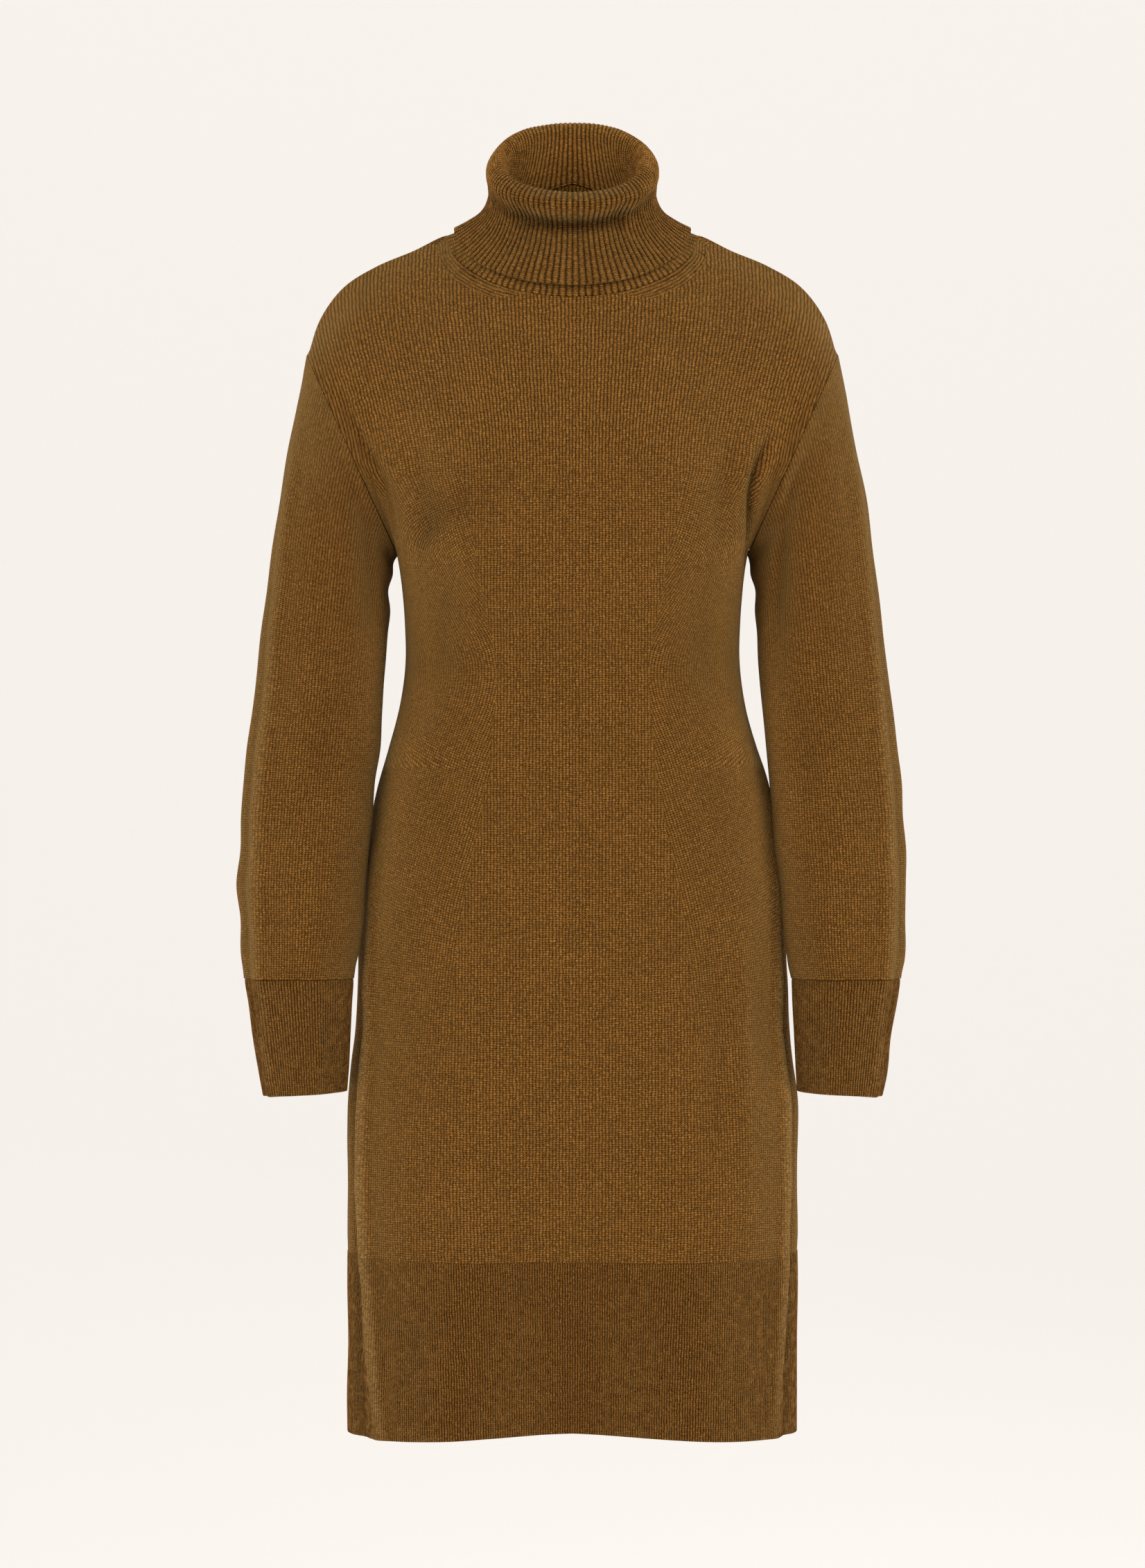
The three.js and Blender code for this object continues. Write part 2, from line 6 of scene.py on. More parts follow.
import bpy
import numpy as np
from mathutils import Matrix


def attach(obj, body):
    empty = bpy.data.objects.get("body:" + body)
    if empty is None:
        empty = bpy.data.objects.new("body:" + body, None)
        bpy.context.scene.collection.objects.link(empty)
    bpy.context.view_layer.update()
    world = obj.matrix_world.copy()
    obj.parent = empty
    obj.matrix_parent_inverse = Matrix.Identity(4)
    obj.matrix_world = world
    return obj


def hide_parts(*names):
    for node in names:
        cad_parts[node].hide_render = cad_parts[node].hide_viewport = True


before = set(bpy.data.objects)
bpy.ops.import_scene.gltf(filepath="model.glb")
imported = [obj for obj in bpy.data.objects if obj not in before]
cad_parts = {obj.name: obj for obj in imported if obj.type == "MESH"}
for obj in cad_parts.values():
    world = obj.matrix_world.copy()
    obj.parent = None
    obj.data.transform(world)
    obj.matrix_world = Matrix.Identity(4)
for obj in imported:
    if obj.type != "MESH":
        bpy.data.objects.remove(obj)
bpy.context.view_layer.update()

MM = 0.001
rng = np.random.default_rng(11)

# Cloth: its thickness, the gap left at a seam, how much thickness an edge keeps where it is sewn and
# where it is free, and the steps that round an edge
WALL = 1.6
HALF_WALL = WALL / 2
SEAM_GAP = 0.08
SEAM_LIP = 0.93
FREE_LIP = 0.45
LIP = (0, 0.12, 0.35, 0.8)

# Knitting: how far apart the columns and rows of stitches stand, the ribs round each tube, and how
# many points draw one rib
WALE = 2.4
COURSE = 1.62
RIB_COURSE = 1.45
COLLAR_COURSE = 1.65
COLLAR_RIBS = 108
COLLAR_RIB_PITCH = 3.9
CUFF_RIBS = 112
CUFF_RIB_PITCH = 2.2
HEM_RIB_PITCH = 1.85
RIB_SAMPLES = 6
HEM_RIB_SAMPLES = 4

# How far the ribs stand out of each tube, and how far from its seam they are full
RIB_RELIEF = {"cuff": 0.5, "hem": 0.42, "collar": 0.8}
RIB_START = 1.2

# How far apart the rows of points stand down each piece, and how far in from a seam the cloth is calm
ROW_STEP = {"panel": 2.3, "sleeve": 2.4, "cuff": 3.0, "hem": 4.5, "collar": 2.4}
CALM = 14

# How uneven each piece is: soft spots down and round it, and how far they push the cloth
NOISE = {
    "panel": ((26, 12), 0.5),
    "sleeve": ((16, 8), 0.6),
    "cuff": ((4, 10), 0.4),
    "hem": ((4, 12), 0.4),
    "collar": ((6, 14), 0.3),
}

# How far a crest stands out or a trough lies in where its paler brushed nap with a painted highlight,
# or its painted shade, starts and is full
BRUSHED_HIGHLIGHT_RANGE = (1.2, 5.0)
PAINTED_SHADE_RANGE = (0.3, 4.5)

# Main heights and places
UNDERARM_Z = -240
HEM_SEAM_Z = -760
HEM_Z = -893
SHOULDER_TIP = (198, -91)
ARMHOLE_HALF_DEPTH = 68
ARMHOLE_SEAM_BACK = 6
UNDERARM_GAP = 1.2
NECK_GAP = 0.5
SHOULDER_SEAM_START = 93

# The pattern's grid: columns from the middle to the side and to the foot of the neck, how wide a
# column is about and how many steps draw it, and the yoke's rows, fall at the underarm and smoothing
HALF_COLUMNS = 10
NECK_COLUMNS = 5
COLUMN_WIDTH = 14
COLUMN_STEPS = 8
YOKE_ROWS = 10
YOKE_FALL = 190
YOKE_SMOOTHING = 6

# Sleeves: places round each ring of the solid and of the visible cloth, and the stitches' girth
SLEEVE_TURNS = 20
SLEEVE_COLUMNS = 120
SLEEVE_GIRTH = 320.0

# Photograph: its height in pixels, how many millimetres one pixel spans at the dress, the pixel row
# that lies level with the origin, and the camera's distance in metres and height of sensor
PHOTO_HEIGHT = 2262
MM_PER_PIXEL = 0.517
ORIGIN_ROW = 335
CAMERA_DISTANCE = 4.0
SENSOR = 36


def table(names, *rows):
    """Columns of a table, by name."""
    return {name: np.array([row[i] for row in rows], float) for i, name in enumerate(names.split())}


# The dress from the underarm down, level by level
BODY = table(
    "z half_width front side back front_square back_square",
    (-240, 130.7, -128, 0, 93, 2.5, 2.5),
    (-262, 127.3, -121, 0, 88, 2.4, 2.4),
    (-292, 125.0, -110, 0, 81, 2.3, 2.3),
    (-323, 124.6, -102, 0, 77, 2.2, 2.3),
    (-354, 129.0, -99, 3, 80, 2.2, 2.3),
    (-385, 137.3, -100, 7, 89, 2.2, 2.3),
    (-416, 146.3, -104, 12, 99, 2.2, 2.3),
    (-450, 153.0, -109, 18, 109, 2.2, 2.3),
    (-500, 159.0, -115, 25, 118, 2.3, 2.4),
    (-555, 161.0, -117, 32, 121, 2.4, 2.5),
    (-600, 163.5, -117, 38, 119, 2.5, 2.5),
    (-650, 168.5, -115, 45, 115, 2.8, 2.6),
    (-760, 168.5, -112, 42, 108, 3.0, 2.7),
    (-893, 168.0, -112, 38, 104, 3.0, 2.8),
)

# Large folds of the skirt: which half, place along X, where each starts and is deepest, half its
# width and its depth, outwards positive
SKIRT_FOLDS = (
    ("front", 0, -600, -893, 82, -30),
    ("front", -106, -640, -893, 62, 6),
    ("front", 106, -640, -893, 62, 6),
    ("back", 0, -620, -893, 80, -18),
    ("back", -98, -640, -893, 60, 5),
    ("back", 98, -640, -893, 60, 5),
)

# The hem's lower edge, from the middle of the front (0) by the side seam (1) to the middle of the
# back (2)
HEM_EDGE = table(
    "turn rise",
    (0, 7), (0.25, 5), (0.5, 2), (0.75, 0.5), (1, -3), (1.5, 0), (2, 3),
)

# One sleeve from below the armhole to the cuff: its outer edge, its inner edge, its middle along Y
# and half its depth
SLEEVE = table(
    "outer_x outer_z inner_x inner_z middle half_depth",
    (204.5, -124, 133.6, -248, 1, 66),
    (211.5, -160, 134.6, -256, 0, 63),
    (217.5, -194, 135.6, -266, -1, 60),
    (224.0, -238, 136.6, -284, -3, 57),
    (230.5, -286, 138.0, -308, -6, 54.5),
    (236.0, -340, 140.0, -345, -12, 52),
    (241.5, -388, 144.0, -388, -18, 50),
    (246.0, -440, 148.4, -440, -24, 49),
    (247.5, -485, 152.2, -485, -29, 48),
    (245.8, -525, 156.0, -525, -33, 46),
    (243.0, -555, 161.5, -555, -36, 42.5),
)
CUFF = table(
    "outer_x outer_z inner_x inner_z middle half_depth",
    (242.0, -555.3, 162.3, -555.3, -36, 41.5),
    (238.4, -580, 163.2, -579, -37.3, 38.6),
    (233.4, -612, 164.8, -610, -38.8, 35.4),
    (228.6, -641.5, 166.6, -638, -40, 33),
)

# The collar from its neck seam up inside, over the roll and down to its free edge: its places in
# front, at the side and behind. full fills out a ring's front, nape draws in its back, and drop
# holds its height up longer towards the back.
COLLAR = table(
    "front_y front_z side_x side_z back_y back_z full nape drop",
    (-84, -56, 93, -4.5, 52, 41, 0, 1, 1),
    (-74, -40, 77, -2, 50.5, 52, 0, 0.7, 1),
    (-62, -16, 57, 10, 49.5, 66, 0.3, 0.2, 1),
    (-57, 8, 48.5, 40, 50, 80, 0.8, 0, 1),
    (-64, 21.5, 53.5, 57.5, 55, 87.5, 0.8, 0, 1),
    (-75, 14.5, 62.5, 48, 60, 80, 0.5, 0, 1),
    (-72, 5, 62.5, 36, 61, 62, 0.3, 0, 1),
    (-65.5, -6, 61.4, 26, 61.5, 45, 0, 0, 1),
    (-69, -19, 66.5, 15, 66, 24, 0, 0, 1.5),
    (-77, -34, 77, 7.5, 74, 8, 0, 0, 2.5),
    (-84, -47, 88, 2, 83, -6, 0, 0, 3),
)

SHOULDER_SEAM = np.array([
    (110, -8, -11), (128, -4, -18.5), (156, 2, -30), (172, 4, -42), (183, 5.5, -55), (192, 6.5, -74),
], float)

# How the panels leave the neckline's middle, the foot of the neck and the tip of the shoulder
PULLS = {
    "front": np.array([(0, -70, -150), (60, -150, -105), (10, -235, -50)], float),
    "back": np.array([(0, 90, -210), (60, 180, -50), (10, 235, -50)], float),
}


def along(at, values, places):
    """A smooth curve through values, one for each place in at, read at other places."""
    at = np.asarray(at, float)
    values = np.asarray(values, float)
    places = np.atleast_1d(np.asarray(places, float))
    last = len(at) - 1
    before = np.maximum(np.arange(last + 1) - 1, 0)
    after = np.minimum(np.arange(last + 1) + 1, last)
    shape = (-1,) + (1,) * (values.ndim - 1)
    slope = (values[after] - values[before]) / (at[after] - at[before]).reshape(shape)
    way = 1 if at[last] > at[0] else -1
    i = np.clip(np.searchsorted(way * at, way * places, side="right") - 1, 0, last - 1)
    span = at[i + 1] - at[i]
    t = ((places - at[i]) / span).reshape(shape)
    span = span.reshape(shape)
    return (
        (2 * t**3 - 3 * t**2 + 1) * values[i]
        + (t**3 - 2 * t**2 + t) * slope[i] * span
        + (3 * t**2 - 2 * t**3) * values[i + 1]
        + (t**3 - t**2) * slope[i + 1] * span
    )


def smoothstep(x, low, high):
    """0 below low, 1 above high and a smooth rise between."""
    t = np.clip((x - low) / (high - low), 0, 1)
    return t * t * (3 - 2 * t)


def running_length(line):
    """Length along a line of points, from its first point to each."""
    steps = np.linalg.norm(np.diff(line, axis=0), axis=1)
    return np.concatenate([[0], np.cumsum(steps)])


def row_lengths(grid):
    """Mean length down a grid, from its first row to each."""
    steps = np.linalg.norm(np.diff(grid, axis=0), axis=2).mean(axis=1)
    return np.concatenate([[0], np.cumsum(steps)])


def evenly(line, count):
    """A line of points drawn again with count equal steps."""
    length = running_length(line)
    places = np.linspace(0, length[-1], count + 1)
    return np.stack([np.interp(places, length, line[:, k]) for k in range(3)], axis=1)


def fold_out(half, x, z):
    """How far the skirt's large folds push the cloth out at a place."""
    out = np.zeros_like(x)
    for where, middle, top, bottom, half_width, depth in SKIRT_FOLDS:
        if where == half:
            across = np.exp(-2 * ((x - middle) / half_width) ** 2)
            out += depth * smoothstep(-z, -top, -bottom) * across
    return out


def body_half_line(half, z, count):
    """A level line from the middle of the front or back to the side seam on the +X side."""
    at = {name: along(BODY["z"], BODY[name], z)[0] for name in BODY}
    is_front = half == "front"
    middle = at["front"] + HALF_WALL if is_front else at["back"] - HALF_WALL
    square = at["front_square"] if is_front else at["back_square"]
    angle = np.linspace(0, math.pi / 2, 193)
    x = (at["half_width"] - HALF_WALL) * np.sin(angle) ** (2 / square)
    level = np.clip(np.cos(angle), 0, 1)
    y = at["side"] + (middle - at["side"]) * level ** (2 / square)
    y += (-1 if is_front else 1) * fold_out(half, x, z) * level**0.5
    return evenly(np.stack([x, y, np.full_like(x, z)], axis=1), count)


ARMHOLE_TOP = np.array([SHOULDER_TIP[0] - HALF_WALL, 0, SHOULDER_TIP[1] - HALF_WALL])
ARMHOLE_FOOT = np.array([BODY["half_width"][0] - HALF_WALL, 0, UNDERARM_Z])
ARMHOLE_MIDDLE = (ARMHOLE_TOP + ARMHOLE_FOOT) / 2
ARMHOLE_REACH = ARMHOLE_TOP - ARMHOLE_MIDDLE
ARMHOLE_OUT = np.array([-ARMHOLE_REACH[2], 0, ARMHOLE_REACH[0]])
ARMHOLE_OUT = ARMHOLE_OUT / np.linalg.norm(ARMHOLE_OUT) * np.sign(ARMHOLE_OUT[0])


def armhole(turn):
    """The armhole seam: 0 degrees at the tip of the shoulder, 90 behind, 180 under the arm."""
    turn = np.radians(turn)
    p = ARMHOLE_MIDDLE + ARMHOLE_REACH * np.cos(turn)[..., None]
    p[..., 1] += ARMHOLE_HALF_DEPTH * np.sin(turn)
    return p


def armhole_turn(half, row):
    """How far round the armhole a row of the yoke meets it."""
    end = -180 if half == "front" else 180
    return ARMHOLE_SEAM_BACK + (end - ARMHOLE_SEAM_BACK) * np.asarray(row, float) / YOKE_ROWS


def collar_line(ring, start, end, count):
    """Evenly spaced points along a run of a collar ring, by angle from the middle of the front."""
    angle = np.radians(np.linspace(start, end, 385))
    c = np.cos(angle)
    reach = np.abs(c)
    behind = c < 0
    nape = np.where(behind, ring["nape"], 0)
    full = np.where(behind, 0, ring["full"])
    across = (1 - reach ** (2 + full - 0.4 * nape)) ** (0.5 + 0.25 * nape)
    y = (ring["front_y"] + ring["back_y"]) / 2 - (ring["back_y"] - ring["front_y"]) / 2 * c
    bottom = np.where(behind, ring["back_z"], ring["front_z"])
    bend = np.where(behind, np.maximum(1 + 0.8 * nape, ring["drop"]), 1)
    z = ring["side_z"] + (bottom - ring["side_z"]) * reach**bend
    x = np.sign(np.sin(angle)) * ring["side_x"] * across
    return evenly(np.stack([x, y, z], axis=1), count)


COLLAR_RINGS = [{name: COLLAR[name][i] for name in COLLAR} for i in range(len(COLLAR["nape"]))]


def panel_top(half):
    """The top edge of half a panel: along the neck seam, then out along the shoulder seam."""
    start = 0 if half == "front" else 180
    neck = collar_line(COLLAR_RINGS[0], start, SHOULDER_SEAM_START, NECK_COLUMNS)
    seam = SHOULDER_SEAM - np.array([0, 0, HALF_WALL])
    line = np.vstack([neck[-1:], seam, armhole(np.array([ARMHOLE_SEAM_BACK]))])
    at = running_length(line)
    fine = along(at, line, np.linspace(0, at[-1], 200))
    return np.vstack([neck, evenly(fine, HALF_COLUMNS - NECK_COLUMNS)[1:]])


def yoke_half(half):
    """Half of the yoke, from the shoulder and neck down to the underarm."""
    top = panel_top(half)
    foot = body_half_line(half, UNDERARM_Z, HALF_COLUMNS)
    fall = YOKE_FALL * (body_half_line(half, UNDERARM_Z - 1, HALF_COLUMNS) - foot)
    place = np.arange(HALF_COLUMNS + 1)
    pull = along((0, NECK_COLUMNS), PULLS[half][:2], place)
    outer = place > NECK_COLUMNS
    pull[outer] = along((NECK_COLUMNS, HALF_COLUMNS), PULLS[half][1:], place[outer])
    rows = []
    for r in range(YOKE_ROWS + 1):
        t = r / YOKE_ROWS
        row = (2 * t**3 - 3 * t**2 + 1) * top + (t**3 - 2 * t**2 + t) * pull
        row = row + (3 * t**2 - 2 * t**3) * foot + (t**3 - t**2) * fall
        off = armhole(armhole_turn(half, r)) - row[-1]
        rows.append(row + off * ((place / HALF_COLUMNS) ** 3)[:, None])
    return rows


MIRROR = np.array([-1, 1, 1])


def whole_row(half, row):
    """A whole row from its +X half, counter-clockwise seen from above."""
    other = (row[1:] * MIRROR)[::-1]
    return np.vstack([other, row]) if half == "front" else np.vstack([row[::-1], row[1:] * MIRROR])


def panel_rows(half):
    """The middle surface of a panel as the solid has it, with one more row below and one more column
    on each side, which only lead the curves out over its edges."""
    rows = yoke_half(half)
    other = "back" if half == "front" else "front"
    levels = [z for z in BODY["z"] if HEM_SEAM_Z < z < UNDERARM_Z]
    levels += [(HEM_SEAM_Z - 650) / 2, HEM_SEAM_Z + SEAM_GAP / 2, HEM_SEAM_Z - 40]
    rows += [body_half_line(half, z, HALF_COLUMNS) for z in levels]
    grid = np.array([whole_row(half, row) for row in rows])
    for _ in range(YOKE_SMOOTHING):
        near = (grid[:-2, 1:-1] + grid[2:, 1:-1] + grid[1:-1, :-2] + grid[1:-1, 2:]) / 4
        inside = grid[1:-1, 1:-1]
        inside[:YOKE_ROWS + 1] += 0.5 * (near - inside)[:YOKE_ROWS + 1]
    beyond = [2 * grid[r, -1 if half == "front" else 0] - grid[r, -2 if half == "front" else 1]
              for r in range(YOKE_ROWS)]
    beyond += [body_half_line(other, z, HALF_COLUMNS)[-2] for z in [UNDERARM_Z] + levels]
    beyond = np.array(beyond)[:, None]
    left, right = (beyond * MIRROR, beyond) if half == "front" else (beyond, beyond * MIRROR)
    return np.concatenate([left, grid, right], axis=1)


def edged(length, step, lip_start=True, lip_end=True):
    """Places along a length, close together at the edges so that they come out round."""
    start = [x for x in LIP if lip_start or x == 0]
    end = [length - x for x in LIP if lip_end or x == 0]
    count = 2 * max(1, round((end[-1] - start[-1]) / step / 2))
    inner = np.linspace(start[-1], end[-1], count + 1)
    return np.concatenate([start[:-1], inner, end[:-1][::-1]])


def grid_normals(grid, closed):
    """Unit normals on the side that faces out."""
    down = np.gradient(grid, axis=0)
    if closed:
        across = (np.roll(grid, -1, axis=1) - np.roll(grid, 1, axis=1)) / 2
    else:
        across = np.gradient(grid, axis=1)
    normal = np.cross(down, across)
    return normal / np.maximum(np.linalg.norm(normal, axis=2, keepdims=True), 1e-9)


def pushed(grid, push, closed):
    """A grid with each point moved out along its normal."""
    return grid + grid_normals(grid, closed) * push[..., None]


def lip_factor(distance, least=FREE_LIP):
    """How much of the wall's half thickness is left near an edge, so that the edge is round."""
    t = np.clip(distance / LIP[-1], 0, 1)
    return least + (1 - least) * np.sqrt(1 - (1 - t) ** 2)


def soft_noise(shape, cells, amount, closed=False):
    """A smooth uneven field over a grid."""
    rows, columns = cells
    spots = rng.normal(0, 1, (rows + 3, columns + (0 if closed else 3)))
    if closed:
        spots = np.hstack([spots[:, -2:], spots, spots[:, :3]])
        first = 2
    else:
        first = 1
    field = along(np.arange(rows + 3), spots, np.linspace(1, rows + 1, shape[0]))
    across = np.linspace(first, first + columns, shape[1] + (1 if closed else 0))[:shape[1]]
    return amount * along(np.arange(spots.shape[1]), field.T, across).T


def crease_field(px, pz, creases):
    """Soft troughs and ridges over a surface laid out along px and pz. Each crease is a line of places
    with its depth (outwards positive) and half width, and it fades out at both ends."""
    pieces = 24
    out = np.zeros_like(px)
    for line, depth, half_width in creases:
        line = np.array(line, float)
        at = running_length(np.column_stack([line, np.zeros(len(line))]))
        fine = along(at, line, np.linspace(0, at[-1], pieces + 1))
        best = np.full_like(px, 1e9)
        share = np.zeros_like(px)
        for i in range(pieces):
            a = fine[i]
            b = fine[i + 1]
            d = b - a
            t = np.clip(((px - a[0]) * d[0] + (pz - a[1]) * d[1]) / (d @ d), 0, 1)
            distance = np.hypot(px - a[0] - t * d[0], pz - a[1] - t * d[1])
            near = distance < best
            best = np.where(near, distance, best)
            share = np.where(near, (i + t) / pieces, share)
        fade = np.sin(np.pi * np.clip(share, 0, 1)) ** 0.7
        out += depth * fade * np.exp(-((best / half_width) ** 2))
    return out


def quads(rows, columns):
    """The rows and columns of the four corners of every face of a grid."""
    r, c = (start.ravel() for start in np.meshgrid(np.arange(rows), np.arange(columns), indexing="ij"))
    return np.stack([r, r + 1, r + 1, r], axis=1), np.stack([c, c, c + 1, c + 1], axis=1)


def shell(name, middle, out, uv, closed, every, material, crease, mirror=False, turned=(), pale=0):
    """A thin closed wall round a grid: its outer face moved out by its own distance at each point,
    over an inner face that has only every so many of its rows and columns. uv runs along the stitches,
    and turned lists the faces where they run another way. crease is how far each point stands out:
    crests get a paler brushed nap with a painted highlight, and troughs a painted shade. pale adds
    painted light (above 0) or painted shade (below 0) to the yarn."""
    grid = middle * MIRROR if mirror else middle
    rows, columns = grid.shape[:2]
    normal = grid_normals(middle, closed)
    if mirror:
        normal = normal * MIRROR
    keep_rows = np.unique(np.append(np.arange(0, rows, every[0]), rows - 1))
    last_column = columns if closed else columns - 1
    keep_columns = np.unique(np.append(np.arange(0, last_column + 1, every[1]), last_column))
    edge_in = np.minimum(out, HALF_WALL)
    outer = grid + normal * out[..., None]
    inner = grid - normal * edge_in[..., None]
    inner = inner[keep_rows][:, keep_columns[:-1] if closed else keep_columns]
    inner_columns = inner.shape[1]
    places = np.vstack([outer.reshape(-1, 3), inner.reshape(-1, 3)]) * MM
    offset = rows * columns

    quad_r, quad_c = quads(rows - 1, last_column)
    faces = (quad_r * columns + quad_c % columns).tolist()
    outside = uv[quad_r, quad_c]
    for where, other in turned:
        is_turned = where[quad_r[:, :1], quad_c[:, :1]][..., None]
        outside = np.where(is_turned, other[quad_r, quad_c], outside)
    corners = [outside.reshape(-1, 2)]
    inner_quads = quads(len(keep_rows) - 1, len(keep_columns) - 1)
    quad_r, quad_c = (corner[:, [0, 3, 2, 1]] for corner in inner_quads)
    faces += (offset + quad_r * inner_columns + quad_c % inner_columns).tolist()
    corners.append(uv[keep_rows[quad_r], keep_columns[quad_c]].reshape(-1, 2))

    def rim(line, back, coords, reverse):
        """Closes the wall between a line of the outer face and the line behind it."""
        face = list(line) + list(back)[::-1]
        edge = list(coords) + [coords[-1], coords[0]]
        faces.append(face[::-1] if reverse else face)
        corners.append(np.array(edge[::-1] if reverse else edge))

    for side, row in (("top", 0), ("bottom", rows - 1)):
        inner_row = 0 if side == "top" else len(keep_rows) - 1
        for k in range(len(keep_columns) - 1):
            run = np.arange(keep_columns[k], keep_columns[k + 1] + 1)
            line = row * columns + run % columns
            back = offset + inner_row * inner_columns + np.array([k, k + 1]) % inner_columns
            rim(line, back, uv[row, run], side == "bottom")
    if not closed:
        for side, column in (("start", 0), ("end", columns - 1)):
            inner_column = 0 if side == "start" else inner_columns - 1
            for k in range(len(keep_rows) - 1):
                run = np.arange(keep_rows[k], keep_rows[k + 1] + 1)
                line = run * columns + column
                back = offset + np.array([k, k + 1]) * inner_columns + inner_column
                rim(line, back, uv[run, column], side == "start")

    corner_uv = np.vstack(corners)
    if mirror:
        sizes = np.array([len(face) for face in faces])
        starts = np.concatenate([[0], np.cumsum(sizes)[:-1]])
        order = np.concatenate([np.arange(s + n - 1, s - 1, -1) for s, n in zip(starts, sizes)])
        corner_uv = corner_uv[order]
        faces = [face[::-1] for face in faces]
    mesh = bpy.data.meshes.new(name)
    mesh.from_pydata(places.tolist(), [], faces)
    layer = mesh.uv_layers.new(name="Stitches")
    layer.data.foreach_set("uv", (corner_uv * MM).ravel())
    mesh.polygons.foreach_set("use_smooth", np.ones(len(faces), bool))
    rest = np.zeros(len(places) - offset)
    # Masks: a paler brushed nap with a painted highlight on crests, and a painted shade in troughs, to
    # which pale adds painted light (above 0) or painted shade (below 0)
    marks = {"Worn": smoothstep(crease, *BRUSHED_HIGHLIGHT_RANGE), "Deep": smoothstep(-crease, *PAINTED_SHADE_RANGE) - pale}
    for label, share in marks.items():
        mask = mesh.attributes.new(label, "FLOAT", "POINT")
        mask.data.foreach_set("value", np.concatenate([share.ravel(), rest]))
    mesh.update()
    piece = bpy.data.objects.new(name, mesh)
    bpy.context.collection.objects.link(piece)
    mesh.materials.append(material)
    return piece


def refined(grid, row_places, column_places, closed, first_column=0):
    """A grid of the solid drawn again as smooth curves, at places given in millimetres down its rows
    and in its own columns, counted from first_column."""
    fine = along(row_lengths(grid), grid, row_places)
    if closed:
        fine = np.concatenate([fine[:, -2:], fine, fine[:, :3]], axis=1)
        first_column = -2
    column_at = np.arange(fine.shape[1]) + first_column
    return along(column_at, fine.transpose(1, 0, 2), column_places).transpose(1, 0, 2)


def feed(tree, socket, value):
    """Links a socket to another node's result, or sets its value."""
    if isinstance(value, bpy.types.NodeSocket):
        tree.links.new(value, socket)
    else:
        socket.default_value = value


def fill(tree, new, inputs):
    """Feeds a node's inputs, by name or, with one underscore first, by number."""
    for key, value in inputs.items():
        feed(tree, new.inputs[int(key[1:]) if key[0] == "_" else key.replace("_", " ")], value)
    return new


def node(tree, kind, **inputs):
    """Adds a node with its inputs."""
    return fill(tree, tree.nodes.new(kind), inputs)


def maths(tree, operation, a, b=0.0, c=0.0):
    """Adds a Math node and gives its result."""
    new = tree.nodes.new("ShaderNodeMath")
    new.operation = operation
    for socket, value in zip(new.inputs, (a, b, c)):
        feed(tree, socket, value)
    return new.outputs[0]


def vector_maths(tree, operation, **inputs):
    """Adds a Vector Math node and gives its result."""
    new = tree.nodes.new("ShaderNodeVectorMath")
    new.operation = operation
    return fill(tree, new, inputs).outputs[0]


def new_group(name, inputs, outputs):
    """A node group with inputs (name, kind, value) and outputs (name, kind), and its two ends."""
    tree = bpy.data.node_groups.new(name, "ShaderNodeTree")
    for label, kind, value in inputs:
        socket = tree.interface.new_socket(label, in_out="INPUT", socket_type=kind)
        if value is not None:
            socket.default_value = value
    for label, kind in outputs:
        tree.interface.new_socket(label, in_out="OUTPUT", socket_type=kind)
    return tree, tree.nodes.new("NodeGroupInput").outputs, tree.nodes.new("NodeGroupOutput").inputs


def place(tree, group, **inputs):
    """Puts a node group in a tree and gives its outputs."""
    new = tree.nodes.new("ShaderNodeGroup")
    new.node_tree = group
    return fill(tree, new, inputs).outputs


# How fine the waver of the rows and columns of stitches is, and how many metres wide
WAVER_SCALE = 140.0
WAVER = 0.0019


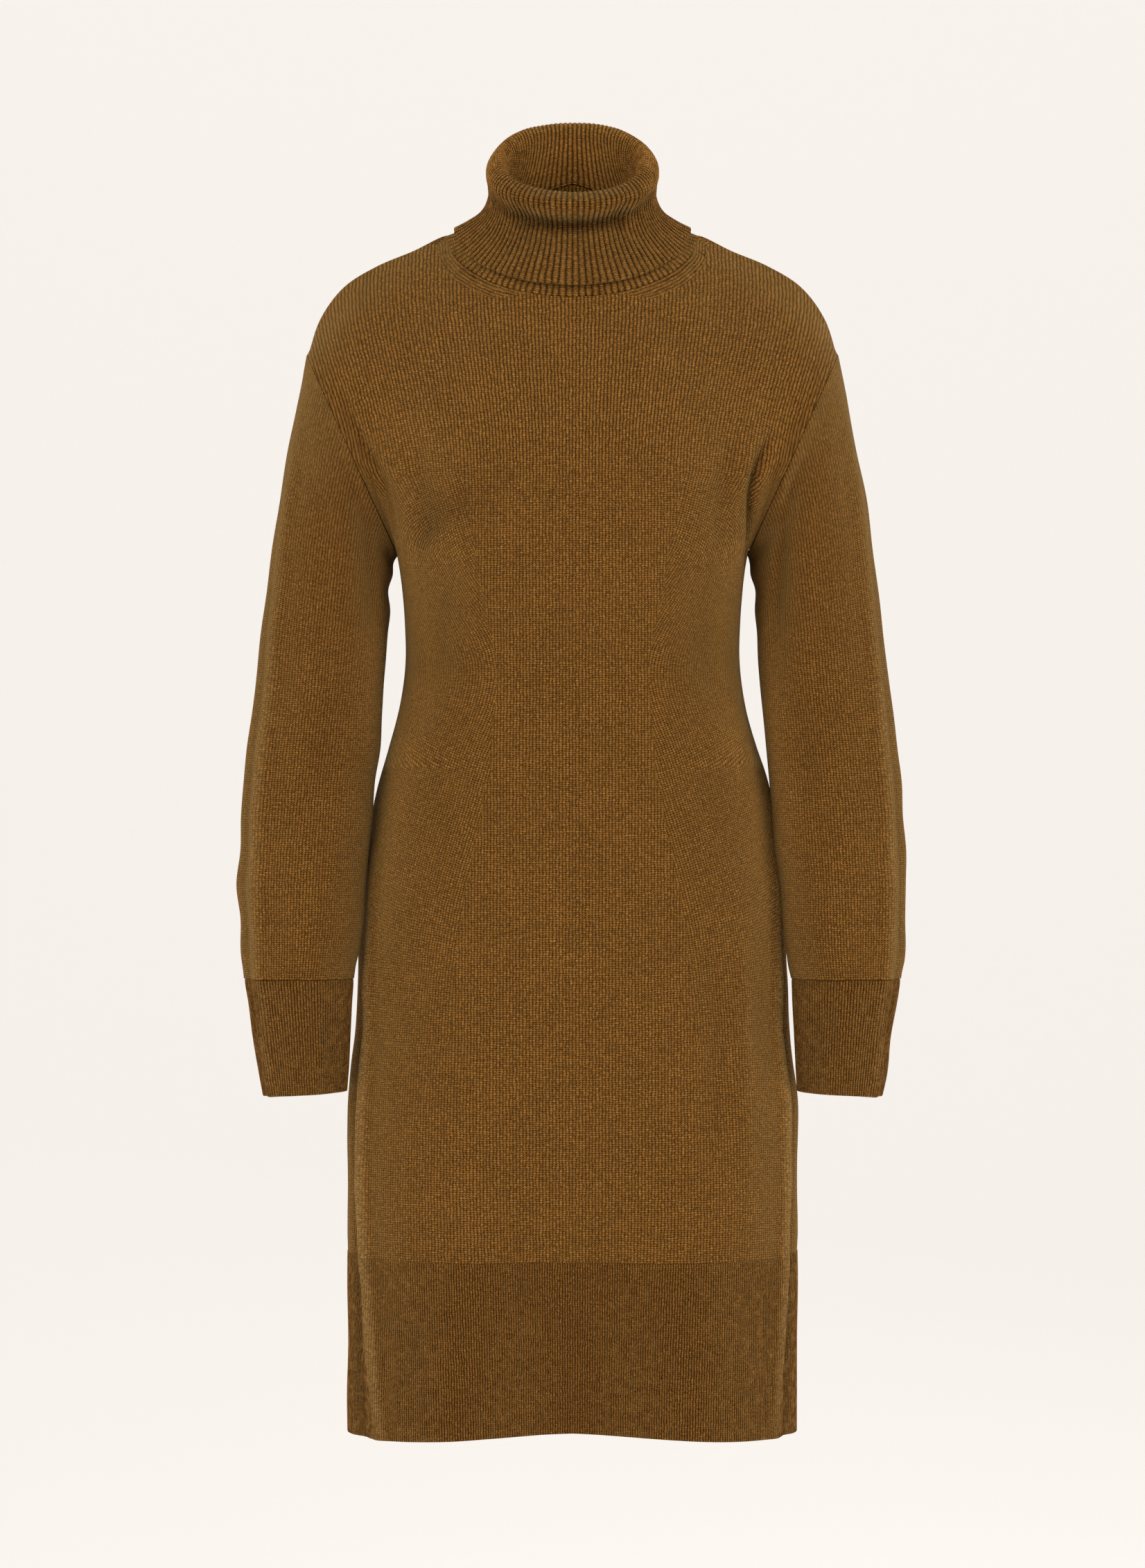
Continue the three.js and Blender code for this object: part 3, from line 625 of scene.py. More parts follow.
def stitch_group():
    """Rows and columns of V-shaped stitches over the cloth: their height, their grooves, and a
    number for each column."""
    tree, given, out = new_group(
        "stitches",
        [("Place", "NodeSocketVector", None), ("Wale", "NodeSocketFloat", WALE * MM),
         ("Course", "NodeSocketFloat", COURSE * MM), ("Columns", "NodeSocketFloat", 0.5),
         ("Rows", "NodeSocketFloat", 0.5), ("Slant", "NodeSocketFloat", 0.55)],
        [("Height", "NodeSocketFloat"), ("Groove", "NodeSocketFloat"), ("Stitch", "NodeSocketVector")],
    )
    waver = node(tree, "ShaderNodeTexNoise", Vector=given["Place"], Scale=WAVER_SCALE, Detail=2.0)
    offset = vector_maths(tree, "SUBTRACT", _0=waver.outputs["Color"], _1=(0.5, 0.5, 0.5))
    slight = vector_maths(tree, "SCALE", _0=offset, Scale=WAVER)
    wavy = vector_maths(tree, "ADD", _0=given["Place"], _1=slight)
    xyz = node(tree, "ShaderNodeSeparateXYZ", _0=wavy)
    u = maths(tree, "DIVIDE", xyz.outputs[0], given["Wale"])
    v = maths(tree, "DIVIDE", xyz.outputs[1], given["Course"])
    across = maths(tree, "FRACT", u)
    from_half = maths(tree, "ABSOLUTE", maths(tree, "SUBTRACT", across, 0.5))
    from_middle = maths(tree, "MULTIPLY", from_half, 2.0)
    leg = maths(tree, "ADD", v, maths(tree, "MULTIPLY", from_middle, given["Slant"]))
    along_leg = maths(tree, "FRACT", leg)
    row = maths(tree, "SINE", maths(tree, "MULTIPLY", along_leg, math.pi))
    square = maths(tree, "MULTIPLY", from_middle, from_middle)
    column = maths(tree, "SUBTRACT", 1.0, square)
    row_depth = maths(tree, "MULTIPLY", maths(tree, "SUBTRACT", 1.0, row), given["Rows"])
    column_depth = maths(tree, "MULTIPLY", maths(tree, "SUBTRACT", 1.0, column), given["Columns"])
    depth = maths(tree, "ADD", row_depth, column_depth)
    groove = maths(tree, "MINIMUM", depth, 1.0)
    tree.links.new(maths(tree, "SUBTRACT", 1.0, depth), out["Height"])
    tree.links.new(groove, out["Groove"])
    number = node(tree, "ShaderNodeCombineXYZ",
                  _0=maths(tree, "FLOOR", u), _1=maths(tree, "FLOOR", leg))
    tree.links.new(number.outputs[0], out["Stitch"])
    return tree


# The yarn of the jersey, the ribs and the collar, the painted shade of their grooves, and the paler
# brushed nap with its painted highlight on crests
YARN = (0.252, 0.1125, 0.0240, 1)
YARN_SHADE = (0.030, 0.0105, 0.0012, 1)
RIB_YARN = (0.211, 0.0910, 0.0195, 1)
COLLAR_YARN = (0.255, 0.1130, 0.0238, 1)
RIB_SHADE = (0.026, 0.009, 0.001, 1)
BRUSHED_HIGHLIGHT_COLOUR = (0.31, 0.19, 0.068, 1)

# How much a crest's brushed nap and painted highlight lighten the painted shade of its grooves, and
# how much of the nap's colour they bring
BRUSHED_HIGHLIGHT_FILL = 0.30
BRUSHED_HIGHLIGHT_SHARE = 0.36

# How high the fibres stand beside the lint, and both beside the stitches
FIBRE_HEIGHT = 0.35
NAP_HEIGHT = 0.35


def yarn_group():
    """Brushed wool: a heather of near colours, stitch by stitch and in soft patches, with painted
    shade in the grooves and in troughs, painted light where the mask is below 0, a paler brushed nap
    with a painted highlight on crests, and fine fibres over it."""
    tree, given, out = new_group(
        "brushed wool",
        [("Place", "NodeSocketVector", None), ("Stitch", "NodeSocketVector", None),
         ("Groove", "NodeSocketFloat", 0.0), ("Yarn", "NodeSocketColor", YARN),
         ("Shade", "NodeSocketColor", YARN_SHADE), ("Deep", "NodeSocketFloat", 0.95),
         ("Worn", "NodeSocketFloat", 0.0), ("Sunk", "NodeSocketFloat", 0.0)],
        [("Colour", "NodeSocketColor"), ("Roughness", "NodeSocketFloat"),
         ("Fibre", "NodeSocketFloat")],
    )
    per_stitch = node(tree, "ShaderNodeTexWhiteNoise", Vector=given["Stitch"])
    patches = node(tree, "ShaderNodeTexNoise", Vector=given["Place"], Scale=22.0, Detail=3.0)
    fibres = node(tree, "ShaderNodeTexNoise", Vector=given["Place"], Scale=2400.0, Detail=2.0)
    lint = node(tree, "ShaderNodeTexNoise", Vector=given["Place"], Scale=640.0, Detail=2.0,
                Roughness=0.7)
    # Painted shade in the grooves, weaker where a crest's brushed nap and painted highlight fill them
    kept = maths(tree, "MULTIPLY_ADD", given["Worn"], -BRUSHED_HIGHLIGHT_FILL, 1.0)
    depth = maths(tree, "MULTIPLY", maths(tree, "MULTIPLY", given["Groove"], given["Deep"]), kept)
    mix = node(tree, "ShaderNodeMix", _0=depth, _6=given["Yarn"], _7=given["Shade"])
    mix.data_type = "RGBA"
    light = 1.0
    # Lightness: the heather stitch by stitch, in soft patches, in fibres and in lint, and last the
    # painted shade and painted light of the mask
    for source, spread, least in (
        (per_stitch.outputs["Value"], 0.44, 0.78),
        (patches.outputs[0], 0.24, 0.88),
        (fibres.outputs[0], 1.10, 0.45),
        (lint.outputs[0], 2.10, -0.05),
        (given["Sunk"], -0.30, 1.0),
    ):
        light = maths(tree, "MULTIPLY", light, maths(tree, "MULTIPLY_ADD", source, spread, least))
    # Crests turn towards a paler colour: the brushed nap with a painted highlight
    share = maths(tree, "MULTIPLY", given["Worn"], BRUSHED_HIGHLIGHT_SHARE)
    brushed = node(tree, "ShaderNodeMix", _0=share, _6=mix.outputs[2], _7=BRUSHED_HIGHLIGHT_COLOUR)
    brushed.data_type = "RGBA"
    # Lighter lint is paler and yellower: the yarn's heather, partly a painted sheen of its fibres
    hue = maths(tree, "MULTIPLY_ADD", lint.outputs[0], 0.024, 0.488)
    saturation = maths(tree, "MULTIPLY_ADD", lint.outputs[0], -0.34, 1.17)
    colour = node(tree, "ShaderNodeHueSaturation", Hue=hue, Saturation=saturation, Value=light,
                  Color=brushed.outputs[2])
    tree.links.new(colour.outputs[0], out["Colour"])
    rough = maths(tree, "MULTIPLY_ADD", fibres.outputs[0], 0.12, 0.84)
    tree.links.new(rough, out["Roughness"])
    fine = maths(tree, "MULTIPLY", fibres.outputs[0], FIBRE_HEIGHT)
    fibre = maths(tree, "ADD", fine, lint.outputs[0])
    tree.links.new(fibre, out["Fibre"])
    return tree


STITCHES = stitch_group()
WOOL = yarn_group()


# How many metres above the underarm the upper strengths of the stitches start and are full
UPPER_FROM = 0.035
UPPER_TO = 0.085


def knit(name, yarn, shade, wale, course, columns, rows, slant, deep, relief, upper=None):
    """A knitted finish, with its stitches laid along the piece's own rows and columns. columns and
    rows say how strong the grooves between them are, slant how steep a stitch's legs are, deep how
    dark the painted shade in the grooves gets and relief how many millimetres they sink. upper gives
    the strengths of the columns and rows on the chest and shoulders, where they differ."""
    material = bpy.data.materials.new(name)
    material.use_nodes = True
    tree = material.node_tree
    tree.nodes.clear()
    uv = tree.nodes.new("ShaderNodeUVMap")
    uv.uv_map = "Stitches"
    if upper is not None:
        place_on = node(tree, "ShaderNodeSeparateXYZ", _0=uv.outputs[0]).outputs[1]
        lifted = node(tree, "ShaderNodeMapRange", Value=place_on, From_Min=UPPER_FROM,
                      From_Max=UPPER_TO)
        lifted.interpolation_type = "SMOOTHSTEP"
        columns = maths(tree, "MULTIPLY_ADD", lifted.outputs[0], upper[0] - columns, columns)
        rows = maths(tree, "MULTIPLY_ADD", lifted.outputs[0], upper[1] - rows, rows)
    # The masks of the brushed nap with its painted highlight, and of painted shade and light
    brushed_highlight_attribute = node(tree, "ShaderNodeAttribute")
    brushed_highlight_attribute.attribute_name = "Worn"
    painted_shade_attribute = node(tree, "ShaderNodeAttribute")
    painted_shade_attribute.attribute_name = "Deep"
    stitch = place(tree, STITCHES, Place=uv.outputs[0], Wale=wale * MM, Course=course * MM,
                   Columns=columns, Rows=rows, Slant=slant)
    wool = place(tree, WOOL, Place=uv.outputs[0], Stitch=stitch["Stitch"], Groove=stitch["Groove"],
                 Yarn=yarn, Shade=shade, Deep=deep, Worn=brushed_highlight_attribute.outputs["Fac"],
                 Sunk=painted_shade_attribute.outputs["Fac"])
    nap = maths(tree, "MULTIPLY", wool["Fibre"], NAP_HEIGHT)
    height = maths(tree, "ADD", stitch["Height"], nap)
    bump = node(tree, "ShaderNodeBump", Height=height, Distance=relief * MM, Strength=1.0)
    surface = node(tree, "ShaderNodeBsdfPrincipled", Base_Color=wool["Colour"],
                   Roughness=wool["Roughness"], Normal=bump.outputs[0])
    surface.inputs["Specular IOR Level"].default_value = 0.03
    surface.inputs["Sheen Weight"].default_value = 0.42
    surface.inputs["Sheen Roughness"].default_value = 0.31
    surface.inputs["Sheen Tint"].default_value = (0.84, 0.59, 0.21, 1)
    end = node(tree, "ShaderNodeOutputMaterial", Surface=surface.outputs[0])
    end.is_active_output = True
    return material


panel_jersey = knit("panel jersey", YARN, YARN_SHADE, WALE, COURSE,
                    columns=0.72, rows=0.64, slant=0.30, deep=0.95, relief=0.8, upper=(0.94, 0.40))
sleeve_jersey = knit("sleeve jersey", YARN, YARN_SHADE, WALE, COURSE,
                     columns=0.70, rows=0.64, slant=0.42, deep=1.0, relief=0.8)
hem_knit = knit("hem rib", RIB_YARN, RIB_SHADE, HEM_RIB_PITCH, RIB_COURSE,
                columns=1.1, rows=0.45, slant=0.5, deep=0.95, relief=0.7)
cuff_knit = knit("cuff rib", RIB_YARN, RIB_SHADE, CUFF_RIB_PITCH, RIB_COURSE,
                 columns=1.1, rows=0.45, slant=0.5, deep=0.95, relief=0.7)
collar_knit = knit("collar rib", COLLAR_YARN, RIB_SHADE, COLLAR_RIB_PITCH, COLLAR_COURSE,
                   columns=1.0, rows=0.5, slant=0.35, deep=0.95, relief=0.8)


def rib_profile(count, samples):
    """How high each of a rib's samples stands: round ribs with narrow grooves between them."""
    at = np.arange(count * samples + 1) / samples % 1
    return 1 - np.abs(2 * at - 1) ** 2.6


def rib_places(row_places, count, samples, pitch):
    """Where each point of a ribbed piece lies, across its ribs and down its rows."""
    return np.stack(np.meshgrid(np.arange(count) / samples * pitch, -row_places), axis=2)


# Panels: creases, as lines of places (distance round from the middle, height) with their depth
# and half width. Negative distances are on the left, as the panel is seen from outside.
PANEL_CREASES = {
    "front": [
        (((-182, -450), (-177, -640), (-170, -760), (-142, -960)), 6.0, 9),
        (((-208, -470), (-203, -660), (-196, -780), (-174, -960)), -6.0, 12),
        (((188, -360), (184, -560), (177, -760), (160, -960)), 5.4, 8),
        (((212, -380), (206, -600), (201, -760), (186, -960)), -6.0, 11),
        (((132, -470), (138, -560), (136, -640), (128, -740)), 2.2, 13),
        (((106, -520), (110, -600), (104, -700)), -2.0, 12),
        (((-128, -150), (-120, -196), (-124, -250)), -2.2, 13),
        (((126, -146), (119, -200), (123, -262)), -2.6, 12),
        (((164, -152), (153, -176), (151, -194), (158, -212), (170, -230), (184, -252)), -5.0, 5.5),
        (((-196, -112), (-190, -137), (-174, -165), (-160, -194), (-165, -236)), -3.0, 7),
        (((-92, -246), (-104, -300), (-112, -352)), -1.8, 14),
        (((94, -250), (104, -310), (116, -366)), -1.6, 13),
        (((-146, -262), (-136, -322), (-142, -392)), 1.8, 11),
        (((147, -270), (138, -330), (146, -400)), 1.5, 12),
        (((-70, -600), (-84, -690), (-70, -800)), 1.6, 20),
        (((-20, -640), (-34, -730), (-26, -830)), -1.4, 18),
        (((60, -705), (70, -790), (96, -900)), 1.6, 16),
        (((-112, -770), (-120, -840), (-108, -905)), -1.8, 13),
        (((60, -62), (84, -84), (112, -104)), -1.4, 12),
        (((-62, -66), (-88, -86), (-116, -100)), -1.2, 12),
        (((-40, -300), (0, -318), (44, -306)), -1.0, 15),
        (((-88, -190), (-74, -246), (-58, -320), (-66, -410)), -0.8, 5),
        (((88, -192), (73, -250), (58, -324), (68, -420)), -0.7, 5),
        (((-152, -248), (-110, -223), (-76, -206), (-42, -192)), -2.0, 14),
    ],
    "back": [
        (((-60, -90), (-90, -130), (-104, -190)), -2.8, 14),
        (((64, -84), (92, -136), (100, -204)), -3.2, 13),
        (((-70, -292), (-20, -318), (40, -312), (84, -290)), -3.4, 12),
        (((-64, -340), (-8, -352), (62, -338)), 2.4, 13),
        (((-96, -620), (-104, -720), (-92, -880)), 2.6, 18),
        (((-30, -640), (-38, -760), (-30, -905)), -3.0, 16),
        (((78, -600), (88, -700), (98, -860)), 2.7, 18),
        (((152, -470), (158, -600), (154, -760), (146, -905)), -3.2, 12),
        (((-150, -500), (-156, -640), (-150, -800)), -2.8, 13),
        (((-16, -60), (0, -130), (-6, -210)), 1.0, 18),
    ],
}

# Painted light and shade on the panels: painted light along the sides of the waist and hips, and
# painted shade in the folds that run out from the underarms
SIDE_PAINTED_LIGHT = [
    (((204, -215), (178, -270), (162, -330), (178, -420), (206, -540), (212, -680)), 1.4, 17),
    (((-204, -215), (-178, -270), (-162, -330), (-176, -420), (-200, -540), (-206, -640)), 1.4, 17),
    (((165, -225), (140, -262), (124, -330), (150, -430), (176, -560), (180, -700)), 1.15, 17),
    (((-165, -215), (-140, -262), (-122, -330), (-146, -430), (-170, -540), (-172, -640)), 1.0, 17),
]
UNDERARM_SHADE = [
    (((164, -152), (153, -176), (151, -194), (158, -212), (170, -230), (184, -252)), -1.4, 4.5),
    (((-152, -248), (-110, -223), (-76, -206), (-42, -192)), -0.35, 16),
]
PANEL_PAINTED_LIGHT_AND_SHADE = {"front": SIDE_PAINTED_LIGHT + UNDERARM_SHADE, "back": SIDE_PAINTED_LIGHT}

# Darts, where the columns of stitches turn: their distance from the middle, and how much cloth
# they have taken out, level by level
DART = table(
    "z place taken",
    (-185, 84, 0), (-240, 74, 16), (-323, 57, 66), (-400, 62, 44),
    (-520, 86, 8), (-640, 96, 0), (-900, 96, 0),
)

# Beside the neck the columns of stitches follow its edge, in a band this wide that starts between
# these distances from the middle. Only the panel's first rows of points lie near it.
NECK_BAND = 11
NECK_BAND_START = (30, 60)
NECK_BAND_ROWS = 60

# Above the underarm the columns of stitches follow the place along X: how close they stand, and
# how much they spread towards the shoulders
FAN = 1.02
FAN_SPREAD = 0.20


def round_from_middle(grid, middle_column):
    """How far round the cloth each point lies from a column in the middle, negative on one side."""
    step = np.linalg.norm(np.diff(grid, axis=1), axis=2)
    s = np.concatenate([np.zeros((len(grid), 1)), np.cumsum(step, axis=1)], axis=1)
    return s - s[:, middle_column:middle_column + 1]


def faces_in(mask):
    """Which faces have at least half of their corners in a mask."""
    count = mask[:-1, :-1].astype(int) + mask[1:, :-1] + mask[1:, 1:] + mask[:-1, 1:]
    return count >= 2


def panel_stitches(half, grid, s, underarm_row):
    """Where each point of a panel lies along its rows and columns of stitches, and where the darts
    and the bands beside the neck turn them."""
    step = np.linalg.norm(np.diff(grid, axis=0), axis=2)
    v = np.concatenate([np.zeros((1, grid.shape[1])), np.cumsum(step, axis=0)], axis=0)
    v = v[underarm_row] - v
    x = grid[..., 0] * (1 if half == "front" else -1)
    z = grid[..., 2]
    fan = x * FAN / (1 + FAN_SPREAD * smoothstep(z, -190, -40))
    share = smoothstep(z, -235, -170)
    u = s * (1 - share) + fan * share
    whole = np.stack([u, v], axis=2)

    place_out = np.interp(-z, -DART["z"], DART["place"])
    depth = np.maximum(-z, -DART["z"][0]).ravel()
    taken = along(-DART["z"], DART["taken"], depth).reshape(z.shape)
    slope = along(-DART["z"], DART["taken"], depth + 1).reshape(z.shape) - taken
    beyond = np.abs(s) - place_out
    side = np.stack([u + np.sign(s) * taken, v + beyond * slope * 0.9], axis=2)
    at_side = faces_in((beyond > 0) & (taken > 0.8))

    neck_start = (HALF_COLUMNS - NECK_COLUMNS) / (2 * HALF_COLUMNS)
    share_across = np.linspace(0, 1, grid.shape[1])
    neck = grid[0, (share_across > neck_start) & (share_across < 1 - neck_start)]
    off = np.full(z.shape, 1e9)
    run = np.zeros(z.shape)
    neck_run = running_length(neck)
    near = slice(NECK_BAND_ROWS)
    for i, p in enumerate(neck):
        distance = np.linalg.norm(grid[near] - p, axis=2)
        closer = distance < off[near]
        off[near] = np.where(closer, distance, off[near])
        run[near] = np.where(closer, neck_run[i], run[near])
    band = np.stack([off, run], axis=2)
    width = NECK_BAND * smoothstep(np.abs(x), *NECK_BAND_START)
    at_neck = faces_in(off < width)
    return whole, [(at_side, side), (at_neck, band)]


# How far in from a panel's ends and sides its creases are full, and between which depths they begin
# to run on over the sides instead
CREASE_FROM_END = 12
CREASE_FROM_SIDE = 10
OVER_SIDES = (400, 500)


def panel(half):
    """The front or back panel."""
    rows = panel_rows(half)
    length_at = row_lengths(rows)
    row_places = edged(length_at[-2], ROW_STEP["panel"])
    column_places = edged(2 * HALF_COLUMNS * COLUMN_WIDTH, COLUMN_WIDTH / COLUMN_STEPS) / COLUMN_WIDTH
    grid = refined(rows, row_places, column_places, False, first_column=-1)
    underarm_row = int(np.argmin(np.abs(row_places - length_at[YOKE_ROWS])))
    s = round_from_middle(grid, len(column_places) // 2)
    uv, turned = panel_stitches(half, grid, s, underarm_row)
    crease = crease_field(s, grid[..., 2], PANEL_CREASES[half])
    from_row = np.minimum(row_places, row_places[-1] - row_places)[:, None]
    from_column = np.minimum(column_places, 2 * HALF_COLUMNS - column_places)[None] * COLUMN_WIDTH
    from_edge = np.minimum(from_row, from_column)
    full = smoothstep(from_row, 0, CREASE_FROM_END) * smoothstep(from_column, 0, CREASE_FROM_SIDE)
    crease *= np.maximum(full, smoothstep(-grid[..., 2], *OVER_SIDES))
    noise = soft_noise(grid.shape[:2], *NOISE["panel"])
    grid = pushed(grid, crease + noise * smoothstep(from_edge, 0, CALM), False)
    out = HALF_WALL * lip_factor(from_edge, SEAM_LIP)
    return shell(f"knit_{half}_panel", grid, out, uv, False, (4, 3), panel_jersey, crease,
                 turned=turned, pale=crease_field(s, grid[..., 2], PANEL_PAINTED_LIGHT_AND_SHADE[half]))


def sleeve_rings(rings, turns):
    """Points round a sleeve or cuff at each of its rings."""
    outer = np.stack([rings["outer_x"], rings["middle"], rings["outer_z"]], axis=1)
    inner = np.stack([rings["inner_x"], rings["middle"], rings["inner_z"]], axis=1)
    middle = (outer + inner) / 2
    reach = outer - middle
    size = np.linalg.norm(reach, axis=1, keepdims=True)
    reach = reach * (size - HALF_WALL) / size
    turns = np.radians(turns)
    grid = middle[:, None] + reach[:, None] * np.cos(turns)[None, :, None]
    grid[..., 1] += (rings["half_depth"] - HALF_WALL)[:, None] * np.sin(turns)[None]
    return grid


# Sleeves: creases, as lines of places (turn in degrees, distance down) with their depth and half
# width. The turn is 0 at the outer edge, 90 behind, 180 inside and 270 in front.
SLEEVE_CREASES = {
    "right": [
        (((328, 6), (318, 120), (315, 250), (312, 380), (310, 520)), 4.4, 10),
        (((350, 24), (340, 140), (337, 300), (334, 520)), -3.4, 11),
        (((250, 0), (238, 36), (222, 84), (214, 140)), -2.6, 10),
        (((262, 30), (248, 84), (238, 150)), 1.6, 14),
        (((240, 150), (256, 214), (250, 280)), -2.0, 15),
        (((286, 190), (270, 240), (282, 300)), -1.5, 14),
        (((232, 300), (262, 352), (246, 410)), 1.6, 15),
        (((300, 330), (268, 392), (276, 452)), -1.6, 12),
        (((228, 380), (240, 440), (236, 500)), -1.7, 10),
        (((120, 150), (100, 220), (118, 300)), -2.4, 16),
        (((80, 260), (96, 340), (82, 430)), 2.0, 17),
        (((150, 30), (128, 84), (116, 130)), -2.8, 15),
        (((40, 30), (56, 110), (50, 190)), 1.5, 18),
    ],
    "left": [
        (((330, 6), (321, 130), (316, 270), (314, 380), (311, 520)), 4.2, 10),
        (((352, 20), (342, 150), (338, 310), (334, 520)), -3.3, 11),
        (((262, 0), (244, 44), (226, 100), (216, 170)), -3.4, 10),
        (((270, 40), (252, 100), (240, 180)), 1.8, 13),
        (((250, 170), (242, 236), (256, 300)), -2.0, 15),
        (((292, 120), (276, 190), (286, 262)), -1.3, 15),
        (((236, 320), (254, 372), (240, 430)), 1.8, 14),
        (((290, 350), (274, 412), (288, 470)), -1.4, 12),
        (((222, 400), (236, 452), (230, 500)), -1.8, 10),
        (((110, 140), (96, 230), (112, 310)), -2.2, 17),
        (((90, 280), (102, 350), (92, 440)), 1.8, 16),
        (((146, 26), (130, 92), (110, 140)), -3.0, 14),
        (((46, 50), (58, 130), (52, 220)), 1.4, 18),
    ],
}

# Painted light on each sleeve, along its inner side towards the front
SLEEVE_PAINTED_LIGHT = {
    "right": [(((208, -40), (212, 40), (212, 120), (208, 230)), 1.7, 20)],
    "left": [(((208, -40), (210, 120), (210, 260), (208, 430)), 1.5, 19)],
}


def sleeve(side):
    """One sleeve, from the armhole to the cuff."""
    turns = np.linspace(0, 360, SLEEVE_TURNS, endpoint=False)
    under = (1 - np.cos(np.radians(turns))) / 2
    top = armhole(turns) + ARMHOLE_OUT * (SEAM_GAP + (UNDERARM_GAP - SEAM_GAP) * under**2)[:, None]
    rings = np.concatenate([top[None], sleeve_rings(SLEEVE, turns)])
    row_places = edged(row_lengths(rings)[-1], ROW_STEP["sleeve"])
    share = np.arange(SLEEVE_COLUMNS + 1) / SLEEVE_COLUMNS
    grid = refined(rings, row_places, share[:-1] * SLEEVE_TURNS, True)
    outer_length = running_length(grid[:, 0])
    uv = np.stack(np.meshgrid((share - 0.5) * SLEEVE_GIRTH, -outer_length), axis=2)
    turn, down = np.meshgrid(share[:-1] * 360, row_places)
    crease = crease_field(turn, down, SLEEVE_CREASES[side])
    crease += crease_field(turn - 360, down, SLEEVE_CREASES[side])
    crease += crease_field(turn + 360, down, SLEEVE_CREASES[side])
    crease *= smoothstep(down, 0, 8 + 30 * ((1 - np.cos(np.radians(turn))) / 2) ** 2)
    from_edge = np.minimum(row_places, row_places[-1] - row_places)[:, None]
    noise = soft_noise(grid.shape[:2], *NOISE["sleeve"], closed=True)
    grid = pushed(grid, crease + noise * smoothstep(from_edge, 0, CALM), True)
    out = HALF_WALL * lip_factor(from_edge, SEAM_LIP) * np.ones(grid.shape[:2])
    return shell(f"knit_{side}_sleeve", grid, out, uv, True, (4, 3), sleeve_jersey, 0.8 * crease,
                 mirror=side == "right", pale=crease_field(turn, down, SLEEVE_PAINTED_LIGHT[side]))


# The cuffs' creases, laid out as on the sleeves
CUFF_CREASES = [
    (((309, -60), (313, 20), (317, 130)), 2.6, 11),
    (((333, -60), (337, 30), (341, 130)), -2.0, 11),
    (((262, -20), (256, 26), (264, 60)), -0.9, 12),
    (((228, -20), (236, 30), (230, 74)), -1.0, 9),
    (((100, -20), (112, 40), (104, 100)), -1.2, 14),
]


def cuff(side):
    """The ribbed cuff below one sleeve."""
    columns = CUFF_RIBS * RIB_SAMPLES
    around = np.arange(columns + 1) / columns * 360
    rings = sleeve_rings(CUFF, around[:-1])
    at = running_length(rings[:, 0])
    row_places = edged(at[-1], ROW_STEP["cuff"])
    grid = along(at, rings, row_places)
    uv = rib_places(row_places, columns + 1, RIB_SAMPLES, CUFF_RIB_PITCH)
    turn, down = np.meshgrid(around[:-1], row_places)
    crease = crease_field(turn, down, CUFF_CREASES)
    noise = soft_noise(grid.shape[:2], *NOISE["cuff"], closed=True)
    grid = pushed(grid, crease + noise * smoothstep(down, 0, CALM), True)
    factor = np.minimum(lip_factor(row_places, SEAM_LIP), lip_factor(at[-1] - row_places))[:, None]
    rib = RIB_RELIEF["cuff"] * rib_profile(CUFF_RIBS, RIB_SAMPLES)[None, :-1]
    out = (HALF_WALL + rib * smoothstep(row_places, 0, RIB_START)[:, None]) * factor
    return shell(f"knit_{side}_cuff", grid, out, uv, True, (3, RIB_SAMPLES), cuff_knit, crease,
                 mirror=side == "right")


def hem(half):
    """The ribbed hem below one panel."""
    seam_length = running_length(body_half_line(half, HEM_SEAM_Z, 200))[-1]
    ribs = 2 * round(seam_length / HEM_RIB_PITCH)
    count = ribs * HEM_RIB_SAMPLES // 2
    depth = HEM_SEAM_Z - HEM_Z
    row_places = edged(depth, ROW_STEP["hem"])
    rows = []
    turn = np.arange(count + 1) / count
    rise = along(HEM_EDGE["turn"], HEM_EDGE["rise"], turn if half == "front" else 2 - turn)
    for place_down in row_places:
        z = HEM_SEAM_Z - SEAM_GAP / 2 - place_down * (1 - SEAM_GAP / 2 / depth)
        row = body_half_line(half, z, count)
        row[:, 2] += rise * place_down / depth
        rows.append(whole_row(half, row))
    grid = np.array(rows)
    columns = grid.shape[1]
    uv = rib_places(row_places, columns, HEM_RIB_SAMPLES, HEM_RIB_PITCH)
    s = round_from_middle(grid, columns // 2)
    crease = crease_field(s, grid[..., 2], PANEL_CREASES[half])
    noise = soft_noise(grid.shape[:2], *NOISE["hem"])
    grid = pushed(grid, crease + noise * smoothstep(row_places, 0, CALM)[:, None], False)
    across = uv[0, :, 0]
    from_seam = np.minimum(row_places[:, None], np.minimum(across, across[-1] - across)[None])
    from_foot = (row_places[-1] - row_places)[:, None]
    factor = np.minimum(lip_factor(from_seam, SEAM_LIP), lip_factor(from_foot))
    rib = RIB_RELIEF["hem"] * rib_profile(ribs, HEM_RIB_SAMPLES)[None]
    out = (HALF_WALL + rib * smoothstep(row_places, 0, RIB_START)[:, None]) * factor
    every = (3, 2 * HEM_RIB_SAMPLES)
    return shell(f"knit_{half}_hem_rib", grid, out, uv, False, every, hem_knit, crease)


